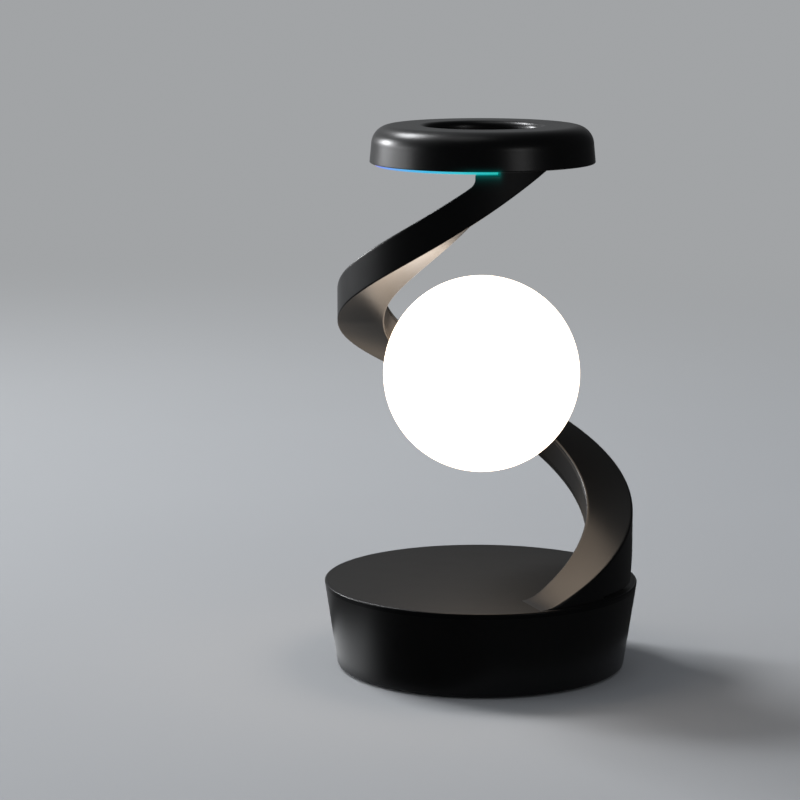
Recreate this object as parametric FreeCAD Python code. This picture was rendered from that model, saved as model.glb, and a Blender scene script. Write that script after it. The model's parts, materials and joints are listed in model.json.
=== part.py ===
"""Magnetic balance lamp.

A round weighted base charges a phone on its deck.  A spiral arm climbs one full
turn round a glowing globe and tucks in under a ring with a colour light line.
The globe sits on a magnetic seat on the arm's inner face and pulls off forwards.

Frame: millimetres, +Z up, origin at the centre of the base on the table.
-Y is the front, and angles are measured from +X towards +Y, in degrees.
"""
import FreeCAD, Part
import math
import os

V = FreeCAD.Vector
UP = V(0, 0, 1)
FULL_TURN = 360.0

# ---------------------------------------------------------------- driving sizes
lamp_h = 259.2          # table to the ring's top

# base
foot_h = 1.0            # the foot ring stands this far out of the base
base_margin = 2.2       # deck rim outside the arm's outer face
base_flare = 6.2        # the side leans out by this much over its height
base_h = 41.8           # table to deck
rim_chamfer = 0.6
base_edge = 1.4         # broken edge at the bottom
base_wall = 2.4
deck_t = 2.6
plate_t = 2.4
ledge_w = 3.4           # ledge in the housing that the base plate bears on
ledge_t = 2.0
skirt_h = 4.0
skirt_t = 1.6
foot_w = 7.0            # rubber foot ring
foot_inset = 2.75       # from the edge of the base plate
foot_groove = 1.0
post_r = 4.5            # three posts under the deck take the base screws
post_first = 30.0
post_count = 3

# spiral arm: outer radius and underside height follow the angle
arm_w = 22.0            # radial width
arm_h = 16.5            # upright thickness, low on the arm
arm_h_top = 18.6        # the same at the ring
arm_taper = 10.0        # steady narrowing over the whole arm
arm_late_rise = 4.605   # the arm ends this far above its plain spiral
arm_over_deck = 20.15   # underside over the deck at angle 0
arm_end = 304.6         # angle where the underside meets the ring
arm_edge = 0.9          # broken upper edges
arm_edge_low = 0.5      # broken lower edges
arm_wall = 2.0
tuck_from = 191.0       # from here the arm tucks in under the ring
tuck_to = 295.0
tuck_inset = 1.1        # arm's outer face inside the ring's, at the end
steep_from = 180.0      # from here the arm climbs a little faster
steep_power = 0.95
runout_soft = 1.0       # how softly the top surface leaves the deck
runout_extra = 5.0      # degrees of feathered tip before the root
foot_end = -38.0        # the root bears on the deck up to here
heel_az = -12.5         # back of the heel
heel_top = 6.0          # from here up the underside is the plain spiral
heel_gap = 1.4          # shadow gap under the heel
heel_power = 2.2
web_az = 265.8          # from here the arm is joined solid to the ring
web_notch_r = 1.7

# what the arm holds
channel_before = 7.0    # the channel starts this many degrees before the heel's gap
channel_end = 279.0
channel_floor = 3.0     # solid floor left over the deck
cover_t = 1.8
spine_in = 3.0          # front of the steel spine behind the arm's inner face
spine_t = 1.5
spine_h = 9.0
spine_gap = 0.3
inlay_end_gap = 1.5     # degrees that the spine and the cable stop short of the channel's ends
cover_end_gap = 0.3
ribbon_t = 1.0          # flat cable in the arm
ribbon_h = 2.4
ribbon_low = 0.3        # it lies this far over the channel's floor
rib_t = 1.6
rib_step = 30.0

# globe and its magnetic seat
globe_r = 46.7
globe_gap = 1.54        # between the globe and the arm, at the seat
globe_wall = 2.0
globe_over_deck = 99.4
collar_r = 14.0
collar_lip = 1.6
collar_lip_t = 0.8
collar_depth = 4.0
seat_r = 7.2
seat_reach = 1.6        # how far the seat enters the collar
seat_t = 3.9
seat_neck_r = 4.0
seat_face_gap = 0.1
magnet_r = 5.4
magnet_t = 2.4
keeper_t = 1.2
contact_pin_r = 1.2
contact_ring_t = 0.6
contact_ring_w = 0.9
led_post_r = 6.0
led_flange_r = 11.0
led_flange_t = 2.0
led_board_r = 12.0
led_board_t = 1.2
led_size = 3.0
led_t = 0.9
led_ring_r = 8.0
led_count = 6
globe_travel_gap = 0.3

# ring
ring_r = 53.1
ring_h = 17.5
ring_band = 26.2        # from the ring's edge to its hole
ring_wall = 2.0
ring_draft = 0.8
ring_shoulder = 8.8     # height of the outer shoulder's curve
ring_shoulder_w = 9.1
ring_lip = 3.0
ring_base_t = 1.8
guide_w = 2.3           # light guide at the lower edge
guide_drop = 1.3        # part of it that shows under the ring
guide_h = 4.0
guide_from = 10.0
guide_to = 278.2
guide_end_gap = 1.0
strip_from = 14.0
strip_to = 260.0
strip_w = 8.75
strip_t = 1.0
ring_led_step = 13.0
ring_led_size = 3.2
ring_led_t = 1.6
ring_boss_r = 3.2
ring_boss_gap = 2.5     # from the hole's wall to a boss
ring_boss_az = (70.0, 180.0, 345.0)

# electronics in the base
ballast_t = 12.0
ballast_gap = 0.6       # to the posts
coil_r = 22.0
coil_hole_r = 10.0
coil_t = 1.6
ferrite_r = 25.0
ferrite_t = 0.8
carrier_wall = 1.4
ear_r = 3.2
board_w = 30.0
board_l = 38.0
board_t = 1.6
board_over_plate = 6.6
board_wall_gap = 1.3    # from the board's corners to the housing
stud_inset = 4.0
stud_r = 3.0
usb_w = 8.94
usb_h = 3.2
usb_l = 7.35
usb_shell = 0.3
usb_slot_w = 13.0
usb_slot_h = 7.0
button_az = (58.0, 122.0)
button_z = 22.0
button_r = 4.5
button_proud = 1.0
button_edge = 0.4
button_flange = 1.1
button_flange_t = 1.3
button_seat_gap = 0.3   # from the flange to the housing
button_travel = 0.8
stem_r = 1.7
switch_size = 6.2
switch_t = 3.4
switch_bore_t = 2.2
switch_reach = 3.2      # from a button's flange to its switch
switch_board_w = 15.0
switch_board_h = 24.0
cradle_h = 7.0
cradle_t = 1.4
cradle_side = 1.5
root_plate_t = 1.5
root_row_back = 9.5     # degrees from the heel's gap to the root fasteners
root_row_front = 2.6
root_wire_r = 2.5
end_row = 4.8           # degrees from the channel's end to the ring's fasteners
end_tip = 11.0
end_wire_back = 4.0
end_wire_r = 2.5

# fasteners and fits
fit = 0.15              # between nested mouldings
slide_fit = 0.2         # round a button
screw_gap = 0.05        # round a screw's shank
m3_r = 1.5
m3_head_r = 2.8
m3_head_t = 1.8
m4_r = 2.0
m4_head_r = 3.5
m4_head_t = 2.4
m2_r = 1.1
screw_bite = 6.0        # thread in the part that a screw holds


# ---------------------------------------------------------------- helpers
def polar(r, az, z=0.0):
    """A point at radius r, angle az and height z."""
    a = math.radians(az)
    return V(r * math.cos(a), r * math.sin(a), z)


def radial(az):
    """Unit vector that points outwards at angle az."""
    return polar(1.0, az)


def smooth(t):
    """Ease from 0 to 1 with level ends."""
    t = min(1.0, max(0.0, t))
    return t * t * (3.0 - 2.0 * t)


def fuse(shapes):
    """One shape from several that touch or overlap."""
    first = shapes[0]
    if len(shapes) == 1:
        return first
    return first.multiFuse(shapes[1:])


def pillar(r, z0, z1, centre=V(0, 0, 0)):
    """Upright cylinder from height z0 to z1."""
    return Part.makeCylinder(r, z1 - z0, V(centre.x, centre.y, z0), UP)


def tube(r_in, r_out, z0, z1, centre=V(0, 0, 0)):
    """Upright tube."""
    return pillar(r_out, z0, z1, centre).cut(pillar(r_in, z0 - 1, z1 + 1, centre))


def rod(r, start, direction, length):
    """Cylinder along any direction."""
    return Part.makeCylinder(r, length, start, direction)


def block(x0, x1, y0, y1, z0, z1):
    """Box between two corners."""
    return Part.makeBox(x1 - x0, y1 - y0, z1 - z0, V(x0, y0, z0))


def turned(points):
    """Solid of revolution about Z from a closed outline of (radius, height) points."""
    outline = [V(r, 0, z) for r, z in points]
    outline.append(outline[0])
    return Part.Face(Part.makePolygon(outline)).revolve(V(0, 0, 0), UP, FULL_TURN)


def ring_sector(r0, r1, z0, z1, a0, a1):
    """Part of a flat ring between two angles."""
    corners = [polar(r0, a0, z0), polar(r1, a0, z0), polar(r1, a0, z1), polar(r0, a0, z1)]
    corners.append(corners[0])
    return Part.Face(Part.makePolygon(corners)).revolve(V(0, 0, 0), UP, a1 - a0)


def screw(head, direction, shank_r, length, head_r, head_t):
    """Pan-head screw with a socket; head is the centre of the head's underside."""
    top = head - direction * head_t
    cap = rod(head_r, top, direction, head_t)
    socket = rod(shank_r * 0.6, top - direction, direction, 1 + head_t * 0.5)
    return cap.fuse(rod(shank_r, head, direction, length)).cut(socket)


def span(a, b, step):
    """Evenly spaced angles from a to b, about step apart."""
    n = max(1, int(math.ceil(abs(b - a) / step)))
    return [a + (b - a) * i / n for i in range(n + 1)]


def lofted(sections):
    """Smooth solid through a row of closed sections."""
    return Part.makeLoft(sections, True, False)


# ---------------------------------------------------------------- derived sizes
deck_z = base_h
deck_under = deck_z - deck_t
plate_top = foot_h + plate_t
globe_z = deck_z + globe_over_deck
ring_top = lamp_h
ring_z = ring_top - ring_h
arm_z0 = deck_z + arm_over_deck
arm_rise = (ring_z - arm_z0 - arm_late_rise) / arm_end    # over one degree
arm_root = -(arm_over_deck + arm_h - runout_soft) / arm_rise    # the top surface meets the deck
arm_r_end = ring_r - tuck_inset

# the seat is where the middle of the arm is level with the globe's middle
seat_az = (globe_z - arm_z0 - arm_h / 2) / arm_rise
seat_along = (seat_az - arm_root) / (arm_end - arm_root)
arm_r_low = globe_r + globe_gap + arm_w + arm_taper * seat_along ** 2
base_r = arm_r_low + base_margin
base_r_low = base_r - base_flare
plate_r = base_r_low - base_wall - fit
foot_r = plate_r - foot_inset - foot_w / 2
post_pcd_r = foot_r - foot_w / 2 - m3_head_r - 3 * fit
ballast_r = post_pcd_r - post_r - ballast_gap
channel_start = foot_end - channel_before
guide_top = guide_h - guide_drop
guide_out = ring_r - ring_draft * guide_top / (ring_h - ring_shoulder) - ring_wall - fit
guide_in = guide_out - guide_w
strip_r_in = guide_in - fit - strip_w
ring_hole_r = ring_r - ring_band
ring_boss_pcd_r = ring_hole_r + ring_wall + ring_boss_gap + ring_boss_r


def base_side(z):
    """Radius of the base's outer side at height z."""
    return base_r_low + (base_r - base_r_low) * (z - foot_h) / (base_h - foot_h)


def arm_outer(az):
    """Outer radius of the arm."""
    along = (az - arm_root) / (arm_end - arm_root)
    free = arm_r_low - arm_taper * max(0.0, along) ** 2
    tucked = smooth((az - tuck_from) / (tuck_to - tuck_from))
    return free * (1.0 - tucked) + arm_r_end * tucked


def arm_inner(az):
    """Inner radius of the arm."""
    return arm_outer(az) - arm_w


def spiral_under(az):
    """Underside height of the plain spiral."""
    late = max(0.0, (az - steep_from) / (arm_end - steep_from))
    return arm_z0 + arm_rise * az + arm_late_rise * late ** steep_power


def spiral_top(az):
    """Top height of the plain spiral, with a soft run-out on to the deck."""
    late = max(0.0, (az - steep_from) / (arm_end - steep_from))
    over = spiral_under(az) + arm_h + (arm_h_top - arm_h) * late ** 2 - deck_z
    if over > 20.0 * runout_soft:
        return deck_z + over
    return deck_z + runout_soft * math.log(1.0 + math.exp(over / runout_soft))


def heel_under(az):
    """Underside height where the heel drops away from the spiral."""
    down = (heel_top - az) / (heel_top - heel_az)
    drop = spiral_under(heel_az) - deck_z - heel_gap
    return spiral_under(az) - drop * down ** heel_power


def arm_section(az, r0, r1, z0, z1, low=0.0, high=0.0):
    """Upright four-sided section at angle az; low and high break its edges."""
    high = min(high, 0.4 * (z1 - z0))
    outline = []
    if low > 0:
        outline += [(r0 + low, z0), (r1 - low, z0), (r1, z0 + low)]
    else:
        outline += [(r0, z0), (r1, z0)]
    if high > 0:
        outline += [(r1, z1 - high), (r1 - high, z1), (r0 + high, z1), (r0, z1 - high)]
    else:
        outline += [(r1, z1), (r0, z1)]
    if low > 0:
        outline.append((r0, z0 + low))
    points = [polar(r, az, z) for r, z in outline]
    points.append(points[0])
    return Part.makePolygon(points)


# spans of the arm that share a law for the underside: start, end, underside, step
arm_spans = [
    (arm_root - runout_extra, foot_end, lambda az: deck_z, 4.0),
    (foot_end, heel_az, lambda az: deck_z + heel_gap, 9.0),
    (heel_az, heel_top, heel_under, 3.1),
    (heel_top, web_az, spiral_under, 9.0),
    (web_az, arm_end + 3.0, spiral_under, 6.5),
]

parts = {}

# ---------------------------------------------------------------- base
side_top = base_side(deck_under)
housing = turned([
    (base_r_low - base_edge, foot_h),
    (base_side(foot_h + base_edge), foot_h + base_edge),
    (side_top, deck_under),
    (side_top - base_wall, deck_under),
    (base_side(plate_top + ledge_t) - base_wall, plate_top + ledge_t),
    (base_r_low - base_wall - ledge_w, plate_top + ledge_t),
    (base_r_low - base_wall - ledge_w, plate_top),
    (base_r_low - base_wall, plate_top),
    (base_r_low - base_wall, foot_h),
])

board_z = plate_top + board_over_plate
wall_at_board = base_side(board_z) - base_wall
board_back = math.sqrt(wall_at_board ** 2 - (board_w / 2) ** 2) - board_wall_gap
usb_z = board_z + board_t + usb_h / 2
usb_half = (usb_slot_w - usb_slot_h) / 2
usb_slot = fuse([
    block(-usb_half, usb_half, base_r_low / 2, 2 * base_r, usb_z - usb_slot_h / 2, usb_z + usb_slot_h / 2),
    rod(usb_slot_h / 2, V(-usb_half, base_r_low / 2, usb_z), V(0, 1, 0), base_r),
    rod(usb_slot_h / 2, V(usb_half, base_r_low / 2, usb_z), V(0, 1, 0), base_r),
])
housing = housing.cut(usb_slot)
for az in button_az:
    housing = housing.cut(rod(button_r + slide_fit, polar(base_r / 2, az, button_z), radial(az), base_r))
parts["base_housing"] = housing

# deck: disc, locating skirt, screw posts, coil locating rim
skirt_r = base_side(deck_under - skirt_h) - base_wall - fit
deck = turned([
    (0, deck_under),
    (side_top, deck_under),
    (base_side(deck_z - rim_chamfer), deck_z - rim_chamfer),
    (base_r - rim_chamfer, deck_z),
    (0, deck_z),
])
deck = deck.fuse(tube(skirt_r - skirt_t, skirt_r, deck_under - skirt_h, deck_under + 0.5))
post_places = [polar(post_pcd_r, post_first + i * 360.0 / post_count) for i in range(post_count)]
for place in post_places:
    post = pillar(post_r, plate_top, deck_under + 0.5, place)
    pilot = pillar(m3_r + screw_gap, plate_top - 1, plate_top + 2 * screw_bite, place)
    deck = deck.fuse(post).cut(pilot)

carrier_r = ferrite_r + fit + carrier_wall
carrier_floor = deck_under - coil_t - ferrite_t
ear_places = [polar(carrier_r + ear_r / 2, 90 + i * 120.0) for i in range(3)]
for place in ear_places:
    deck = deck.fuse(pillar(ear_r, carrier_floor, deck_under + 0.5, place))
    deck = deck.cut(pillar(m2_r + screw_gap, carrier_floor - 1, deck_under, place))
keep_out = pillar(carrier_r + fit, carrier_floor - 1, deck_under)
deck = deck.cut(keep_out)

# the arm's root fasteners and wires go up through the deck
root_mid = arm_r_low - arm_w / 2
root_out = skirt_r - skirt_t - m4_head_r - 2 * fit
root_in = 2 * root_mid - root_out
root_screws_at = [
    polar(root_in, foot_end - root_row_back),
    polar(root_out, foot_end - root_row_back),
    polar(root_out, foot_end - root_row_front),
]
root_wire_at = polar(root_mid - root_wire_r, foot_end - root_row_front)
for place in root_screws_at:
    deck = deck.cut(pillar(m4_r + 4 * screw_gap, deck_under - 1, deck_z + 1, place))
deck = deck.cut(pillar(root_wire_r, deck_under - 1, deck_z + 1, root_wire_at))
parts["charging_deck"] = deck

# base plate with foot groove, board posts and switch cradles
plate = pillar(plate_r, foot_h, plate_top)
groove = tube(foot_r - foot_w / 2 - fit, foot_r + foot_w / 2 + fit, foot_h - 1, foot_h + foot_groove)
plate = plate.cut(groove)
for place in post_places:
    hole = pillar(m3_r + 2 * screw_gap, foot_h - 1, plate_top + 1, place)
    sink = pillar(m3_head_r + fit, foot_h - 1, foot_h + foot_groove, place)
    plate = plate.cut(hole).cut(sink)
board_places = [
    V(x, y, 0)
    for x in (stud_inset - board_w / 2, board_w / 2 - stud_inset)
    for y in (board_back - board_l + stud_inset, board_back - 2 * stud_inset)
]
for place in board_places:
    stud = pillar(stud_r, plate_top - 0.5, board_z, place)
    plate = plate.fuse(stud).cut(pillar(m2_r + screw_gap, plate_top, board_z + 1, place))

# the switch boards stand upright behind the buttons, in slotted cradles
flange_out = base_side(button_z - button_r - button_flange) - base_wall - button_seat_gap
flange_in = flange_out - button_flange_t
switch_front = flange_in - switch_reach
switch_back = switch_front - switch_t
board_in = switch_back - board_t
cradle_w = switch_board_w + 2 * cradle_side


def tangent_box(az, r0, r1, width, z0, z1):
    """Box that faces outwards at angle az."""
    shape = block(r0, r1, -width / 2, width / 2, z0, z1)
    shape.rotate(V(0, 0, 0), UP, az)
    return shape


for az in button_az:
    cradle = tangent_box(az, board_in - cradle_t, switch_back + cradle_t, cradle_w,
                         plate_top - 0.5, plate_top + cradle_h)
    slot = tangent_box(az, board_in - fit, switch_back + fit, switch_board_w + 2 * fit,
                       plate_top, plate_top + cradle_h + 1)
    plate = plate.fuse(cradle).cut(slot)

ballast_screws_at = [V(-0.6 * ballast_r, 0, 0), V(0.6 * ballast_r, 0, 0)]
for place in ballast_screws_at:
    plate = plate.cut(pillar(m4_r + 2 * screw_gap, foot_h - 1, plate_top + 1, place))
    plate = plate.cut(pillar(m4_head_r + fit, foot_h - 1, foot_h + foot_groove, place))
parts["base_plate"] = plate

parts["foot_ring"] = tube(foot_r - foot_w / 2, foot_r + foot_w / 2, 0, foot_h + foot_groove)

ballast = pillar(ballast_r, plate_top, plate_top + ballast_t)
ballast = ballast.cut(block(-base_r, base_r, board_back - board_l - 2 * ballast_gap, base_r, 0, base_h))
for place in ballast_screws_at:
    ballast = ballast.cut(pillar(m4_r + screw_gap, plate_top - 1, plate_top + ballast_t + 1, place))
parts["ballast"] = ballast

parts["base_screws"] = Part.makeCompound([
    screw(V(p.x, p.y, foot_h + foot_groove), UP, m3_r, plate_t - foot_groove + 1.6 * screw_bite,
          m3_head_r, foot_groove * 0.9) for p in post_places])
parts["ballast_screws"] = Part.makeCompound([
    screw(V(p.x, p.y, foot_h + foot_groove), UP, m4_r, plate_t - foot_groove + 0.9 * ballast_t,
          m4_head_r, foot_groove * 0.9) for p in ballast_screws_at])

# ---------------------------------------------------------------- charging coil
parts["charging_coil"] = tube(coil_hole_r, coil_r, deck_under - coil_t, deck_under)
parts["coil_ferrite"] = pillar(ferrite_r, carrier_floor, deck_under - coil_t)
carrier = pillar(carrier_r, carrier_floor - carrier_wall, deck_under)
carrier = carrier.cut(pillar(ferrite_r + fit, carrier_floor, deck_under + 1))
carrier = carrier.cut(pillar(coil_hole_r, carrier_floor - 2 * carrier_wall, carrier_floor + 1))
for place in ear_places:
    ear = pillar(ear_r, carrier_floor - carrier_wall, carrier_floor, place)
    carrier = carrier.fuse(ear).cut(pillar(m2_r + 2 * screw_gap, 0, carrier_floor + 1, place))
carrier = carrier.cut(pillar(ferrite_r + fit, carrier_floor, deck_under + 1))
parts["coil_carrier"] = carrier

# ---------------------------------------------------------------- boards
board = block(-board_w / 2, board_w / 2, board_back - board_l, board_back, board_z, board_z + board_t)
for place in board_places:
    board = board.cut(pillar(m2_r + 2 * screw_gap, board_z - 1, board_z + board_t + 1, place))
parts["main_board"] = board

# components: place across and along the board, then width, length and height
chip_z = board_z + board_t
boxes = [
    (0.00, 0.42, 7.0, 7.0, 1.0),
    (0.30, 0.35, 5.0, 5.5, 3.0),
    (-0.32, 0.30, 5.0, 5.0, 1.2),
    (0.00, 0.10, 10.0, 4.5, 6.0),
]
cans = [(-0.25, 0.62, 3.1, 7.0), (0.25, 0.64, 2.5, 5.5)]
board_front = board_back - board_l
chips = []
for across, along, wide, long, high in boxes:
    x, y = across * board_w, board_front + along * board_l
    chips.append(block(x - wide / 2, x + wide / 2, y - long / 2, y + long / 2, chip_z, chip_z + high))
for across, along, r, high in cans:
    chips.append(pillar(r, chip_z, chip_z + high, V(across * board_w, board_front + along * board_l, 0)))
parts["board_parts"] = Part.makeCompound(chips)

usb_front = base_side(usb_z) - base_wall - 2 * fit
usb = block(-usb_w / 2, usb_w / 2, usb_front - usb_l, usb_front, chip_z, chip_z + usb_h)
along_y = [e for e in usb.Edges if abs(e.tangentAt(e.FirstParameter).y) > 0.9]
usb = usb.makeFillet(usb_h * 0.42, along_y)
cavity = block(-usb_w / 2 + usb_shell, usb_w / 2 - usb_shell, usb_front - usb_l + 1.0, usb_front + 1,
               chip_z + usb_shell, chip_z + usb_h - usb_shell)
along_y = [e for e in cavity.Edges if abs(e.tangentAt(e.FirstParameter).y) > 0.9]
cavity = cavity.makeFillet((usb_h - 2 * usb_shell) * 0.42, along_y)
tongue = block(-3.35, 3.35, usb_front - usb_l + 0.5, usb_front - 1.4,
               usb_z - 0.35, usb_z + 0.35)
parts["usb_socket"] = usb.cut(cavity).fuse(tongue)

# ---------------------------------------------------------------- buttons and switches
button_out = base_side(button_z) + button_proud
stem_tip = switch_front - (switch_bore_t - button_travel - slide_fit)
for az, name in zip(button_az, ("ring_button", "lamp_button")):
    at = polar(flange_out, az, button_z)
    cap = rod(button_r, at - radial(az) * 0.2, radial(az), button_out - flange_out + 0.2)
    rims = [e for e in cap.Edges if len(e.Vertexes) == 1]
    front_rim = max(rims, key=lambda e: math.hypot(e.CenterOfMass.x, e.CenterOfMass.y))
    cap = cap.makeChamfer(button_edge, [front_rim])
    flange = rod(button_r + button_flange, polar(flange_in, az, button_z), radial(az), button_flange_t)
    stem = rod(stem_r, polar(stem_tip, az, button_z), radial(az), flange_in - stem_tip + 0.3)
    parts[name] = cap.fuse(flange).fuse(stem)

switches = []
boards = []
for az in button_az:
    body = tangent_box(az, switch_back, switch_front, switch_size,
                       button_z - switch_size / 2, button_z + switch_size / 2)
    bore = rod(stem_r + slide_fit, polar(switch_front - switch_bore_t, az, button_z), radial(az), 5)
    switches.append(body.cut(bore))
    boards.append(tangent_box(az, board_in, switch_back, switch_board_w,
                              plate_top, plate_top + switch_board_h))
parts["switches"] = Part.makeCompound(switches)
parts["switch_boards"] = Part.makeCompound(boards)

# ---------------------------------------------------------------- spiral arm
solids = []
for start, end, under, step in arm_spans:
    sections = []
    for az in span(start, end, step):
        r1 = arm_outer(az)
        z1 = spiral_top(az)
        if start >= web_az:
            z1 = ring_z + 5.0
        low = arm_edge_low if start >= foot_end else 0.0
        sections.append(arm_section(az, r1 - arm_w, r1, under(az), z1, low, arm_edge))
    solids.append(lofted(sections))
arm = fuse(solids)
arm = arm.cut(block(-base_r, base_r, -base_r, base_r, ring_z, ring_top + arm_h))

# the gap between the arm and the ring ends in a round notch
notch_mid = (spiral_top(web_az) + ring_z - guide_drop) / 2 + 0.2
arm = arm.cut(rod(web_notch_r, polar(ring_hole_r, web_az, notch_mid), radial(web_az), base_r))
# room for the light guide under the ring
arm = arm.cut(ring_sector(guide_in - fit, base_r, ring_z - guide_drop - fit, ring_z + 5,
                          web_az - 10, guide_to + guide_end_gap))


def channel_low(az):
    """Floor of the channel inside the arm."""
    if az <= heel_az:
        under = deck_z + heel_gap
    elif az <= heel_top:
        under = heel_under(az)
    else:
        under = spiral_under(az)
    return max(deck_z + channel_floor, under + arm_wall)


def channel_high(az):
    """Roof of the channel inside the arm."""
    return min(spiral_top(az), ring_z) - arm_wall


roof_turn = web_az + 5.0
channel_spans = [
    (channel_start, heel_az, 8.0),
    (heel_az, heel_top, 3.1),
    (heel_top, roof_turn, 9.0),
    (roof_turn, channel_end, 3.5),
]


def swept(r0, r1, low, high, first, last):
    """Strip along the arm: radii from its inner face, heights from the laws low and high."""
    pieces = []
    for start, end, step in channel_spans:
        a, b = max(start, first), min(end, last)
        if b - a < 0.5:
            continue
        rows = []
        for az in span(a, b, step):
            inner = arm_inner(az)
            outer = inner + r1 if r1 > 0 else arm_outer(az) + r1
            rows.append(arm_section(az, inner + r0, outer, low(az), high(az)))
        pieces.append(lofted(rows))
    return fuse(pieces)


def mid(az):
    """Middle height of the channel."""
    return (channel_low(az) + channel_high(az)) / 2


channel = swept(-1.0, -arm_wall, channel_low, channel_high, channel_start, channel_end)
ribs = []
rib_front = spine_in + spine_t + ribbon_t + 0.4
for az in span(heel_top + 12, web_az - 20, rib_step):
    half = math.degrees(rib_t / 2 / arm_outer(az))
    rows = []
    for edge_az in (az - half, az + half):
        inner = arm_inner(edge_az)
        rows.append(arm_section(edge_az, inner + rib_front, arm_outer(edge_az) - arm_wall + 0.5,
                                channel_low(edge_az) - 0.5, mid(edge_az)))
    ribs.append(lofted(rows))
channel = channel.cut(Part.makeCompound(ribs))
arm = arm.cut(channel)
for place in root_screws_at:
    arm = arm.cut(pillar(m4_r + screw_gap, deck_z - 1, deck_z + screw_bite, place))
arm = arm.cut(pillar(root_wire_r, deck_z - 1, deck_z + channel_floor + 1, root_wire_at))

# fasteners and the wire hole at the ring
end_mid = arm_r_end - arm_w / 2
end_screws_at = [
    polar(end_mid, channel_end + end_tip),
    polar(end_mid - arm_w / 4, channel_end + end_row),
    polar(end_mid + arm_w / 4, channel_end + end_row),
]
end_wire_at = polar(end_mid, channel_end - end_wire_back)
for place in end_screws_at:
    arm = arm.cut(pillar(m3_r + screw_gap, ring_z - 0.8 * screw_bite, ring_z + 1, place))
arm = arm.cut(pillar(end_wire_r, ring_z - arm_wall - 3, ring_z + 1, end_wire_at))
parts["arm_shell"] = arm

seat_dir = radial(seat_az)
centre = V(0, 0, globe_z)


def on_seat_axis(s):
    """Point on the seat's axis, s outwards from the globe's centre."""
    return centre + seat_dir * s


cover = swept(0.0, cover_t, lambda az: channel_low(az) + fit, lambda az: channel_high(az) - fit,
              channel_start + cover_end_gap, channel_end - cover_end_gap)
cover = cover.cut(rod(seat_neck_r + fit, on_seat_axis(0), seat_dir, 2 * globe_r))
parts["arm_cover"] = cover



def spine_low(az):
    """Lower edge of the steel spine."""
    return max(channel_low(az) + spine_gap, mid(az) - spine_h / 2)


def spine_high(az):
    """Upper edge of the steel spine."""
    return min(channel_high(az) - spine_gap, mid(az) + spine_h / 2)


spine = swept(spine_in, spine_in + spine_t, spine_low, spine_high,
              channel_start + inlay_end_gap, channel_end - inlay_end_gap)
spine = spine.cut(rod(m3_r + 2 * screw_gap, on_seat_axis(0), seat_dir, 2 * globe_r))
parts["arm_spine"] = spine
ribbon_in = spine_in + spine_t + fit
parts["arm_ribbon"] = swept(ribbon_in, ribbon_in + ribbon_t, lambda az: channel_low(az) + ribbon_low,
                            lambda az: channel_low(az) + ribbon_low + ribbon_h,
                            channel_start + channel_before, channel_end - inlay_end_gap)

root_edge = math.degrees((m4_head_r + 1.0) / root_mid)
root_plate = ring_sector(root_in - m4_head_r, root_out + m4_head_r, deck_under - root_plate_t, deck_under,
                         foot_end - root_row_back - root_edge, foot_end - root_row_front + root_edge)
for place in root_screws_at:
    root_plate = root_plate.cut(pillar(m4_r + screw_gap, 0, base_h, place))
root_plate = root_plate.cut(pillar(root_wire_r, 0, base_h, root_wire_at))
parts["root_plate"] = root_plate
parts["root_screws"] = Part.makeCompound([
    screw(V(p.x, p.y, deck_under - root_plate_t), UP, m4_r, root_plate_t + deck_t + 0.85 * screw_bite,
          m4_head_r, m4_head_t) for p in root_screws_at])

# ---------------------------------------------------------------- ring
outline = Part.Wire([
    Part.makeLine(V(ring_r, 0, 0), V(ring_r - ring_draft, 0, ring_h - ring_shoulder)),
    Part.Arc(V(ring_r - ring_draft, 0, ring_h - ring_shoulder),
             V(ring_r - ring_draft - 0.26 * ring_shoulder_w, 0, ring_h - 0.33 * ring_shoulder),
             V(ring_r - ring_draft - ring_shoulder_w, 0, ring_h)).toShape(),
    Part.makeLine(V(ring_r - ring_draft - ring_shoulder_w, 0, ring_h), V(ring_hole_r + ring_lip, 0, ring_h)),
    Part.Arc(V(ring_hole_r + ring_lip, 0, ring_h),
             V(ring_hole_r + 0.293 * ring_lip, 0, ring_h - 0.293 * ring_lip),
             V(ring_hole_r, 0, ring_h - ring_lip)).toShape(),
    Part.makeLine(V(ring_hole_r, 0, ring_h - ring_lip), V(ring_hole_r, 0, 0)),
    Part.makeLine(V(ring_hole_r, 0, 0), V(ring_r, 0, 0)),
])
ring = Part.Face(outline).revolve(V(0, 0, 0), UP, FULL_TURN)
# the core inside follows the wall and cuts straight across under the shoulder
ring_core = turned([
    (ring_r - ring_wall, 0),
    (ring_r - ring_draft - ring_wall, ring_h - ring_shoulder),
    (ring_r - ring_draft - ring_shoulder_w, ring_h - ring_wall),
    (ring_hole_r + ring_lip, ring_h - ring_wall),
    (ring_hole_r + ring_wall, ring_h - ring_lip),
    (ring_hole_r + ring_wall, 0),
])
ring = ring.cut(ring_core)
ring.translate(V(0, 0, ring_z))
ring_floor = ring_z + ring_base_t
for az in ring_boss_az:
    ring = ring.fuse(pillar(ring_boss_r, ring_floor, ring_top - ring_wall + 0.5, polar(ring_boss_pcd_r, az)))
parts["ring_shell"] = ring

ring_base = tube(ring_hole_r + ring_wall + fit, guide_in - fit, ring_z, ring_floor)
ring_base = ring_base.fuse(ring_sector(guide_in - fit - 1, guide_out, ring_z, ring_floor,
                                       guide_to + guide_end_gap, guide_from + FULL_TURN - guide_end_gap))
for place in end_screws_at:
    ring_base = ring_base.cut(pillar(m3_r + 2 * screw_gap, ring_z - 1, ring_floor + 1, place))
ring_base = ring_base.cut(pillar(end_wire_r, ring_z - 1, ring_floor + 1, end_wire_at))
parts["ring_base"] = ring_base

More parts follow.
